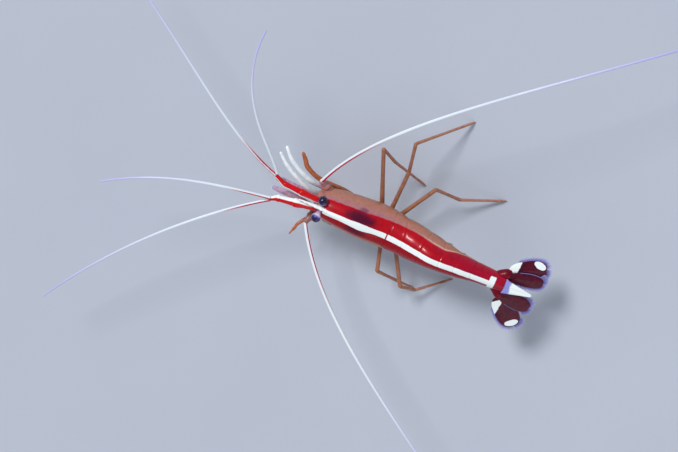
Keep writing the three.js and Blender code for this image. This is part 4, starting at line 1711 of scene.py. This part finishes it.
@dataclass(frozen=True)
class Feelers:
    """The four feelers of the antennules and the two long antennae, with the stalks that carry them."""

    scale_length: float = 10.25
    scale_width: float = 1.5
    scale_hairs: int = 70
    hairs_from: float = 0.35
    hair_reach: float = 0.42
    # a stalk's joints, the way that its white edge faces, and how narrow that edge is
    stalks: ClassVar[dict[Side, tuple[Line, Triple, float]]] = {
        Side.RIGHT: (
            (
                (-16.9, 0.95, 16.4, 0.8), (-21.6, 1.42, 17.2, 0.84),
                (-25.6, 1.7, 17.3, 0.66), (-28.0, 2.9, 17.5, 0.44),
            ),
            (-0.1, -1.0, 0.35),
            0.8,
        ),
        Side.LEFT: (
            (
                (-16.9, -1.0, 16.4, 0.8), (-22.0, -1.52, 17.2, 0.98),
                (-25.8, -2.15, 17.3, 0.78), (-27.3, -3.0, 17.5, 0.48),
            ),
            (-0.1, 0.95, -0.1),
            0.44,
        ),
    }
    down_left: ClassVar[Triple] = (-0.19, 0.9, -0.4)
    # a feeler, how narrow its white edge is, and how far its red reaches
    flagella: ClassVar[tuple[tuple[Feeler, float, float], ...]] = (
        (Feeler("antennule_long_right", (-28.0, 2.9, 17.5), (156, -25, 20, 14, -24), 62), 0.95, 0.22),
        (Feeler("antennule_short_right", (-27.9, 3.6, 17.9), (118.5, 41, -76.5, 22, -26), 36), -0.7, 0.3),
        (
            Feeler("antennule_short_left", (-27.3, -2.6, 17.9), (183.5, -10, 44, 16, -20), 39, down_left),
            -0.2,
            0.3,
        ),
        (
            Feeler("antennule_long_left", (-27.2, -3.3, 17.3), (215.5, 3.5, 23, 4, -12), 64, down_left),
            -0.1,
            0.22,
        ),
    )
    # a knuckle's joints, and its near, far and cloudy colours; the left knuckle's colours are darker, as
    # painted shade
    bases: ClassVar[dict[Side, tuple[Line, tuple[Colour, ...]]]] = {
        Side.RIGHT: (
            ((-15.6, 2.8, 13.0, 1.0), (-17.3, 3.9, 13.6, 1.1), (-18.2, 5.0, 15.0, 0.6)),
            (srgb(166, 106, 92), srgb(184, 136, 146), srgb(172, 104, 96)),
        ),
        # painted shade: the left knuckle gets darker browns than the right
        Side.LEFT: (
            ((-15.6, -2.8, 13.0, 1.0), (-17.3, -4.2, 13.6, 1.1), (-18.0, -5.9, 15.0, 0.6)),
            (srgb(128, 84, 66), srgb(156, 112, 108), srgb(138, 84, 66)),
        ),
    }
    antennae: ClassVar[tuple[Feeler, ...]] = (
        Feeler(
            "antenna_right", (-18.2, 5.0, 15.0), (73, -28, -9.5, 22, -44), 100,
            edge_way=(-0.8, 0.55, -0.25), radii=(0.4, 0.2),
        ),
        Feeler(
            "antenna_left", (-18.0, -5.9, 15.0), (-59.5, 35.5, -18, 14, -24), 100,
            edge_way=(-0.8, -0.55, 0.45), radii=(0.4, 0.2),
        ),
    )

    def build(self) -> None:
        """Builds stalks first and then what they carry."""
        self.build_antennules()
        self.build_antennae()
        self.build_scales()

    def build_antennules(self) -> None:
        """The red, white-edged stalks and their two feelers each."""
        for side, (joints, edge_way, balance) in self.stalks.items():
            name = f"antennule_{side.label}"
            piece = Workpiece(f"{name}_stalk")
            limb = Limb(joints, sides=24)
            limb.model(piece)
            Path(limb.points()).mark(piece, edge_way)
            paint = TwoTonePaint(
                f"shell_{name}", roughness=0.3, coat=0.4, balance=balance,
                body=srgb(206, 6, 16), body_until=9.0, rings_per_mm=0.0,
            )
            piece.finish(paint, Slot.SHELL, [name])
        for feeler, balance, red_until in self.flagella:
            paint = TwoTonePaint(
                f"feeler_{feeler.name}", roughness=0.4, balance=balance, body_until=red_until,
                edge=srgb(232, 242, 250), body=srgb(200, 24, 34), tip=srgb(196, 190, 240),
            )
            feeler.build(paint)

    def build_antennae(self) -> None:
        """The antennae's bases and their feelers, white with a red underside near the base."""
        for side, (joints, (near, far, cloudy)) in self.bases.items():
            name = f"antenna_base_{side.label}"
            piece = Workpiece(f"{name}_knuckle")
            limb = Limb(joints, sides=28)
            limb.model(piece)
            Path(limb.points()).mark(piece)
            paint = CloudyPaint(
                f"flesh_{name}", roughness=0.4, coat=0.2, relief=0.03, near=near, far=far, cloudy=cloudy
            )
            piece.finish(paint, Slot.FLESH, [name])
        paint = TwoTonePaint(
            "feeler_antenna", roughness=0.38, relief=0.022, balance=-0.15, body_until=0.26,
            edge=srgb(236, 246, 252), body=srgb(206, 24, 48), tip=srgb(178, 172, 236),
        )
        for feeler in self.antennae:
            feeler.build(paint)

    def build_scales(self) -> None:
        """The blades beside the antennules, with hairs on their margins."""
        paint = CloudyPaint(
            "scale_blade", roughness=0.3, clarity=0.85,
            near=srgb(176, 122, 140), far=srgb(206, 176, 200), cloudy=srgb(160, 108, 138),
        )
        for side in Side:
            name = f"antenna_scale_{side.label}"
            root = (-17.6, 1.05 * side.value, 15.4)
            leaf = Leaf(
                root, self.scale_length, self.scale_width, 180 - side.value, 2, 4 * side.value,
                thickness=0.3, camber=0.15,
            )
            piece = Workpiece(f"{name}_blade")
            leaf.model(piece)
            leaf.mark(piece)
            piece.finish(paint, Slot.SCALE, [name])
            fringe = Fringe(f"{name}_hairs", SetaPaint("seta_scale"))
            rng = np.random.default_rng(11 + side.value)
            fringe.grow_round(leaf, self.hair_reach, (self.hairs_from,) * 2, self.scale_hairs, rng)
            fringe.build(Slot.SCALE)


@dataclass(frozen=True)
class Limbs:
    """The feeding limbs, the claw legs and the walking legs."""

    hairs_per_article: int = 110
    toe_length: float = 1.5
    toe_rise: float = 0.12
    toe_radii: tuple[float, ...] = (0.24, 0.28, 0.22, 0.15, 0.1)
    maxillipeds: ClassVar[dict[Side, Line]] = {
        Side.RIGHT: (
            (-13.6, 1.1, 9.4, 0.6), (-17.4, 2.0, 11.0, 0.56), (-21.0, 3.6, 14.0, 0.58),
            (-25.6, 6.7, 15.7, 0.5), (-28.1, 9.4, 16.0, 0.38),
        ),
        Side.LEFT: (
            (-13.6, -1.1, 9.4, 0.6), (-17.4, 0.0, 10.9, 0.56), (-21.0, 1.6, 13.9, 0.58),
            (-26.0, 4.9, 15.6, 0.5), (-28.9, 7.5, 16.0, 0.38),
        ),
    }
    claw_legs: ClassVar[dict[str, Line]] = {
        "leg_1_right": (
            (-9.5, 1.6, 8.3, 0.6), (-13.0, 2.7, 9.3, 0.52), (-18.9, 3.7, 11.4, 0.54),
            (-22.3, 5.4, 12.2, 0.56), (-23.5, 7.0, 12.5, 0.54),
        ),
        "leg_1_left": (
            (-9.5, -1.6, 8.3, 0.6), (-12.5, -4.0, 9.0, 0.5), (-17.2, -6.0, 10.4, 0.44),
            (-19.4, -8.5, 11.6, 0.36), (-19.75, -9.54, 11.94, 0.33),
        ),
        "leg_2_right": (
            (-7.2, 1.6, 8.3, 0.55), (-10.4, 1.2, 6.8, 0.45),
            (-14.4, 0.4, 6.2, 0.4), (-16.4, -0.4, 7.0, 0.4),
        ),
        "leg_2_left": (
            (-7.2, -1.6, 8.3, 0.55), (-10.8, -2.9, 6.4, 0.45),
            (-14.8, -4.8, 5.2, 0.4), (-15.82, -4.8, 2.2, 0.4),
        ),
    }
    # the legs that curve from article to article, with their pincers
    curved: ClassVar[dict[str, Pincer]] = {
        "leg_1_right": Pincer(palm_radius=0.54, spread=5.0, finger_length=1.15, finger_radius=0.42),
        "leg_1_left": Pincer(palm_radius=0.36, spread=5.0, finger_radius=0.2),
    }
    # joints down to the knee, and the foot's place on the floor
    walking_legs: ClassVar[dict[str, tuple[Line, Triple]]] = {
        "leg_3_right": (
            ((-3.3, 1.6, 8.4, 0.65), (-8.6, 16.8, 12.0, 0.45), (-5.0, 13.6, 8.4, 0.4)), (3.8, 7.9, 0),
        ),
        "leg_4_right": (
            ((-1.4, 1.6, 8.4, 0.65), (-1.3, 13.3, 10.0, 0.47), (-2.6, 21.0, 12.0, 0.42)), (7.9, 27.0, 0),
        ),
        "leg_5_right": (
            ((0.6, 1.6, 8.4, 0.65), (5.8, 12.2, 10.0, 0.45), (11.9, 10.2, 5.0, 0.4)), (22.1, 12.6, 0),
        ),
        "leg_3_left": (
            ((-4.4, -1.6, 8.4, 0.6), (-12.8, -6.3, 9.2, 0.45), (-14.6, -8.2, 4.8, 0.4)), (-9.2, -10.0, 0),
        ),
        "leg_4_left": (
            ((-1.6, -1.6, 8.4, 0.65), (1.5, -12.2, 10.0, 0.45), (7.5, -15.1, 4.4, 0.4)), (11.5, -17.2, 0),
        ),
        "leg_5_left": (
            ((0.8, -1.6, 8.4, 0.65), (7.9, -14.5, 7.8, 0.45), (11.6, -15.6, 4.0, 0.4)), (18.8, -10.9, 0),
        ),
    }

    def build(self) -> None:
        """Builds every limb from its joints."""
        self.build_maxillipeds()
        self.build_claw_legs()
        self.build_walking_legs()

    def build_maxillipeds(self) -> None:
        """The long white feeding limbs, with short hairs on their last two articles."""
        paint = CloudyPaint(
            "feeler_maxilliped", roughness=0.4, coat=0.4, far_from=0.15, far_to=0.4,
            near=srgb(196, 150, 140), far=WHITE, cloudy=srgb(222, 232, 246),
        )
        for side, joints in self.maxillipeds.items():
            name = f"maxilliped_{side.label}"
            limb = Limb(joints, sides=18, smooth=True)
            piece = Workpiece(f"{name}_limb")
            limb.model(piece)
            Path(limb.points()).mark(piece)
            piece.finish(paint, Slot.FEELER, [name])
            self.grow_hairs(name, joints, np.random.default_rng(40 + side.value))

    def grow_hairs(self, name: str, joints: Line, rng: np.random.Generator) -> None:
        """Grows short hairs round a limb's last two articles, leaning towards its tip.

        Args:
            name: The limb's name.
            joints: Its joints.
            rng: Draws each hair's place and length.
        """
        fringe = Fringe(f"{name}_hairs", SetaPaint("seta_white", root=WHITE, end=WHITE))
        for start, end in zip(joints[2:], joints[3:]):
            here, there = Vector(start[:3]), Vector(end[:3])
            way = (there - here).normalized()
            for _ in range(self.hairs_per_article):
                share, turn = rng.random(), rng.random() * 2 * math.pi
                spoke = way.orthogonal().normalized()
                spoke.rotate(Quaternion(way, turn))
                radius = start[3] + (end[3] - start[3]) * share
                lean = (way * 0.8 + spoke * 0.6).normalized() * (0.3 + 0.25 * rng.random())
                patch = (0.05 + 0.9 * share, 0.05 + 0.9 * turn / (2 * math.pi))
                root = here.lerp(there, share) + spoke * radius * 0.8
                fringe.hairs.append(Hair(root, lean, way * 0.08, 0.022, patch))
        fringe.build(Slot.FEELER)

    def build_claw_legs(self) -> None:
        """The two pairs of legs that end in pincers."""
        paint = CloudyPaint(
            "leg_claw", roughness=0.36,
            near=srgb(166, 104, 78), far=srgb(188, 104, 62), cloudy=srgb(160, 88, 58),
        )
        for name, joints in self.claw_legs.items():
            limb = Limb(joints, smooth=name in self.curved)
            piece = Workpiece(f"{name}_limb")
            limb.model(piece)
            self.curved.get(name, Pincer()).model(piece, limb)
            Path(limb.points()).mark(piece)
            piece.finish(paint, Slot.LEG, [name])

    def build_walking_legs(self) -> None:
        """The three pairs of thin walking legs, each ending in a small hooked toe on the floor."""
        paint = CloudyPaint(
            "leg_walking", roughness=0.36, far_from=0.3,
            near=srgb(164, 110, 84), far=srgb(182, 130, 110), cloudy=srgb(146, 92, 74),
        )
        for name, (joints, floor_place) in self.walking_legs.items():
            knee, foot = Vector(joints[-1][:3]), Vector(floor_place)
            way = (foot - knee).normalized()
            ankle = foot - way * self.toe_length
            limb = Limb((*joints, (*ankle, 0.3)), sides=14)
            piece = Workpiece(f"{name}_limb")
            limb.model(piece)
            toe = [ankle + way * self.toe_length * share for share in (0.0, 0.2, 0.5, 0.8)]
            toe.append(Vector((foot.x, foot.y, self.toe_rise)))
            piece.sweep(toe, self.toe_radii, 12)
            Path([*limb.points(), foot]).mark(piece)
            piece.finish(paint, Slot.LEG, [name])


@dataclass(frozen=True)
class Swimmerets:
    """Five pairs of swimming limbs under the abdomen: a short stem and two hairy blades each."""

    trunk: Trunk
    pairs: int = 5
    first: float = 2.6
    pitch: float = 4.0
    length: float = 5.1
    shortening: float = 0.4
    lean: float = 70.0
    root_share: float = 0.276
    hairs_per_side: int = 26
    hairs_from: float = 0.15
    hair_reach: float = 0.36
    stem: float = 1.7
    # each blade's width, its share of the limb's length past the stem, and how far it splays
    blades: tuple[Triple, ...] = ((1.05, 1.0, 6.0), (0.8, 0.84, -3.0))
    paint: Paint = CloudyPaint(
        "swimmeret_blade", roughness=0.34, clarity=0.96,
        near=srgb(150, 92, 62), far=srgb(178, 122, 92), cloudy=srgb(142, 82, 60),
    )
    hair_paint: Paint = SetaPaint("seta_swimmeret", root=srgb(176, 124, 100), end=srgb(214, 184, 170))

    def build(self) -> None:
        """Builds each limb with its hairs."""
        for index in range(self.pairs):
            for side in Side:
                self.build_one(index, side)

    def build_one(self, index: int, side: Side) -> None:
        """Builds one limb.

        Args:
            index: Its number from the front, from 0.
            side: The side that it is on.
        """
        x = self.first + self.pitch * index
        half_width, _, _, bottom = self.trunk.section(x)
        root = Vector((x, side.value * self.root_share * half_width, bottom + 0.35))
        lean = math.radians(self.lean)
        way = Vector((math.sin(lean), 0, -math.cos(lean)))
        length = self.length - self.shortening * index
        name = f"swimmeret_{index + 1}_{side.label}"
        piece = Workpiece(f"{name}_limb")
        knee = root + way * self.stem
        Limb(((*(root - way * 0.4), 0.5), (*knee, 0.42)), sides=14).model(piece)
        rng = np.random.default_rng(60 + 2 * index + (side is Side.RIGHT))
        fringe = Fringe(f"{name}_hairs", self.hair_paint)
        for width, share, splay in self.blades:
            blade = Leaf(
                tuple(knee - way * 0.2), (length - self.stem) * share, width, splay * side.value,
                dip=90.0 - self.lean, cant=90.0, thickness=0.26, keel=0.06, camber=0.12, rings=20, facets=20,
            )
            blade.model(piece)
            fringe.grow_round(blade, self.hair_reach, (self.hairs_from,) * 2, self.hairs_per_side, rng)
        piece.mark("along", lambda places: np.linalg.norm(places - np.array(root), axis=1) / length)
        piece.finish(self.paint, Slot.SWIMMERET, [name])
        fringe.build(Slot.SWIMMERET)


@dataclass(frozen=True)
class TailFan:
    """The telson, and on each side a knuckle with an outer and an inner blade."""

    fringe_reach: float = 1.2
    bare_until: float = 0.22
    covered_until: float = 0.86
    hairs_per_side: int = 230
    telson_depth: float = 0.9
    telson_tip: float = 0.28
    telson_rings: int = 40
    telson_close_from: float = 0.93
    knuckle_end: float = 0.6
    telson: ClassVar[Leaf] = Leaf((28.3, -0.1, 15.75), 6.9, 3.5, 0.8, 8)
    knuckles: ClassVar[dict[Side, Line]] = {
        Side.RIGHT: (
            (25.4, 0.9, 14.3, 0.7), (26.8, 1.6, 14.4, 1.2),
            (28.0, 2.4, 14.4, 1.2), (28.9, 3.2, 14.3, 0.8),
        ),
        Side.LEFT: (
            (25.4, -0.9, 14.3, 0.7), (26.9, -1.8, 14.3, 1.2),
            (28.1, -2.8, 14.3, 1.2), (28.9, -3.7, 14.3, 0.8),
        ),
    }
    blades: ClassVar[dict[str, tuple[Leaf, FinPaint]]] = {
        "tail_outer_right": (
            Leaf((28.1, 3.0, 14.2), 8.6, 5.3, 23.5, 12, outer=1),
            FinPaint(
                "fin_outer_right", white_until=2.0, white_slant=0.45,
                spot=(6.97, 1.14), spot_radii=(1.45, 0.8), spot_turn=-38.0,
            ),
        ),
        "tail_outer_left": (
            Leaf((28.2, -4.0, 14.2), 9.0, 5.7, -41, 13, outer=-1),
            FinPaint(
                "fin_outer_left", white_from=0.75, white_until=2.05, white_slant=0.9,
                spot=(7.9, 0.1), spot_radii=(1.6, 0.82), spot_turn=96.5,
            ),
        ),
        "tail_inner_right": (
            Leaf((28.3, 2.1, 15.0), 8.4, 3.8, 6.5, 14, outer=1), FinPaint("fin_inner_right"),
        ),
        "tail_inner_left": (
            Leaf((28.3, -2.7, 15.0), 8.0, 4.3, -8, 14, outer=-1), FinPaint("fin_inner_left"),
        ),
    }

    def build(self) -> None:
        """Builds knuckles, blades and the telson."""
        self.build_knuckles()
        self.build_blades()
        self.build_telson()

    def build_knuckles(self) -> None:
        """The red knuckles that carry the blades."""
        paint = CloudyPaint(
            "shell_knuckle", roughness=0.36, coat=0.1,
            near=DEEP_RED, far=srgb(92, 3, 32), cloudy=srgb(150, 2, 28),
        )
        for side, joints in self.knuckles.items():
            name = f"tail_base_{side.label}"
            curve = [Vector(joints[0][:3])]
            radii = [joints[0][3]]
            for start, end in zip(joints, joints[1:]):
                for share in (0.33, 0.66, 1.0):
                    curve.append(Vector(start[:3]).lerp(Vector(end[:3]), share))
                    radii.append(start[3] + (end[3] - start[3]) * smoothstep(share, 0.0, 1.0))
            radii[0] *= self.knuckle_end
            radii[-1] *= self.knuckle_end
            piece = Workpiece(f"{name}_knuckle")
            piece.sweep(curve, radii, 28)
            Path(curve).mark(piece)
            piece.finish(paint, Slot.SHELL, [name])

    def build_blades(self) -> None:
        """The four blades: the outer pair carries the white marks, and a fringe grows where none overlap."""
        hair_paint = SetaPaint("seta_fin", root=srgb(140, 132, 214), end=srgb(204, 208, 246))
        for order, (name, (leaf, paint)) in enumerate(self.blades.items()):
            piece = Workpiece(f"{name}_blade")
            leaf.model(piece)
            leaf.mark(piece)
            piece.finish(paint, Slot.FIN, [name])
            starts = (self.bare_until, self.covered_until)
            if ("outer" in name) != (leaf.outer > 0):
                starts = starts[::-1]
            fringe = Fringe(f"{name}_hairs", hair_paint)
            rng = np.random.default_rng(80 + order)
            fringe.grow_round(leaf, self.fringe_reach, starts, self.hairs_per_side, rng)
            fringe.build(Slot.FIN)

    def place_telson(self, ring: int, angle: float, across: float) -> Vector:
        """The telson's placing: rings are even, and the last few close the tip.

        Args:
            ring: The ring's number from the root.
            angle: The angle round it.
            across: 1 on the surface and 0 in the middle.

        Returns:
            The vertex's place.
        """
        leaf = self.telson
        share = ring / self.telson_rings
        width = leaf.width / 2 + (self.telson_tip - leaf.width / 2) * share
        past = max(0.0, (share - self.telson_close_from) / (1 - self.telson_close_from))
        close = math.sqrt(max(0.0, 1 - past**2)) + 0.02
        thickness = self.telson_depth / 2 * (1 - 0.35 * share)
        y = width * close * fuller(math.cos(angle), 2.4) * across
        z = thickness * close * fuller(math.sin(angle), 2.4) * across
        groove = 0.12 * math.exp(-((y / 0.3) ** 2)) * (math.sin(angle) > 0)
        offset = leaf.axes() @ Vector((leaf.length * share * 0.985, y, z - groove * across))
        return Vector(leaf.root) + offset

    def build_telson(self) -> None:
        """The middle blade: an oval section that tapers to a blunt tip, with a lilac base and white end."""
        piece = Workpiece("telson_blade")
        piece.mould(self.telson_rings, 40, self.place_telson)
        self.telson.mark(piece, clear=False)
        paint = FinPaint("fin_telson", all_white_from=0.2, lilac_until=1.7)
        piece.finish(paint, Slot.FIN, ["telson"])


# --- The room ---


@dataclass(frozen=True)
class Lamp:
    """A distant light: where it stands, how strong it is, and how wide it looks in degrees."""

    name: str
    place: Triple
    strength: float
    spread: float

    def build(self) -> None:
        """Hangs the lamp and points it at the animal."""
        data = bpy.data.lights.new(self.name, "SUN")
        data.energy = self.strength
        data.angle = math.radians(self.spread)
        light = bpy.data.objects.new(self.name, data)
        bpy.context.scene.collection.objects.link(light)
        light.location = metres(self.place)
        light.rotation_euler = (metres((0, 0, 12)) - light.location).to_track_quat("-Z", "Y").to_euler()


@dataclass(frozen=True)
class Studio:
    """A pale floor, soft lights, and a camera that looks down on the animal."""

    floor_size: float = 3000.0
    sky: Colour = (0.88, 0.92, 1.0)
    sky_strength: float = 0.42
    lamps: tuple[Lamp, ...] = (
        Lamp("key", (-200.0, 220.0, 300.0), 2.1, 14.0),
        Lamp("fill", (230.0, -190.0, 200.0), 0.5, 60.0),
    )
    aim: Triple = (-10.69, -1.99, 17.94)
    distance: float = 355.73
    tilt: float = -25.0
    roll: float = 24.0
    lens: float = 85.0

    def build(self) -> None:
        """Builds the room."""
        self.build_floor()
        self.build_sky()
        for lamp in self.lamps:
            lamp.build()
        self.build_camera()

    def build_floor(self) -> None:
        """A plain pale floor, at the level of the feet."""
        bpy.ops.object.select_all(action="DESELECT")
        bpy.ops.mesh.primitive_plane_add(size=self.floor_size * MM, location=(0, 0, 0))
        floor = bpy.context.active_object
        floor.name = "floor"
        material = bpy.data.materials.new("floor_pale")
        material.use_nodes = True
        sketch = Sketch(material.node_tree)
        shader = material.node_tree.nodes["Principled BSDF"]
        cloud = sketch.noise(sketch.millimetres(), 0.02, 3.0)
        sketch.feed(shader.inputs["Base Color"], cloud.mix(srgb(186, 193, 207), srgb(194, 201, 214)))
        shader.inputs["Roughness"].default_value = 0.7
        floor.data.materials.append(material)

    def build_sky(self) -> None:
        """An even, slightly cool sky."""
        world = bpy.data.worlds.new("studio")
        bpy.context.scene.world = world
        world.use_nodes = True
        sky = world.node_tree.nodes["Background"].inputs
        sky["Color"].default_value = (*self.sky, 1.0)
        sky["Strength"].default_value = self.sky_strength

    def build_camera(self) -> None:
        """The camera looks past straight down and is rolled, so that the tail falls away to the right."""
        data = bpy.data.cameras.new("camera")
        data.lens = self.lens
        data.sensor_width = 36.0
        camera = bpy.data.objects.new("camera", data)
        bpy.context.scene.collection.objects.link(camera)
        tilt = Matrix.Rotation(math.radians(self.tilt), 4, "X")
        turn = tilt @ Matrix.Rotation(math.radians(self.roll), 4, "Z")
        back = turn.to_3x3() @ Vector(UP)
        camera.matrix_world = Matrix.Translation(metres(Vector(self.aim) + back * self.distance)) @ turn
        bpy.context.scene.camera = camera
        bpy.context.scene.view_settings.view_transform = "Standard"


def main() -> None:
    """Builds the animal and its room in order."""
    logging.basicConfig(level=logging.INFO, format="%(name)s: %(message)s")
    trunk = Trunk()
    trunk.build()
    Rostrum().build()
    Underbody().build()
    MouthPalps().build()
    for side in Side:
        Eye(side).build()
    Feelers().build()
    Limbs().build()
    Swimmerets(trunk).build()
    TailFan().build()
    Studio().build()


if __name__ == "__main__":
    main()
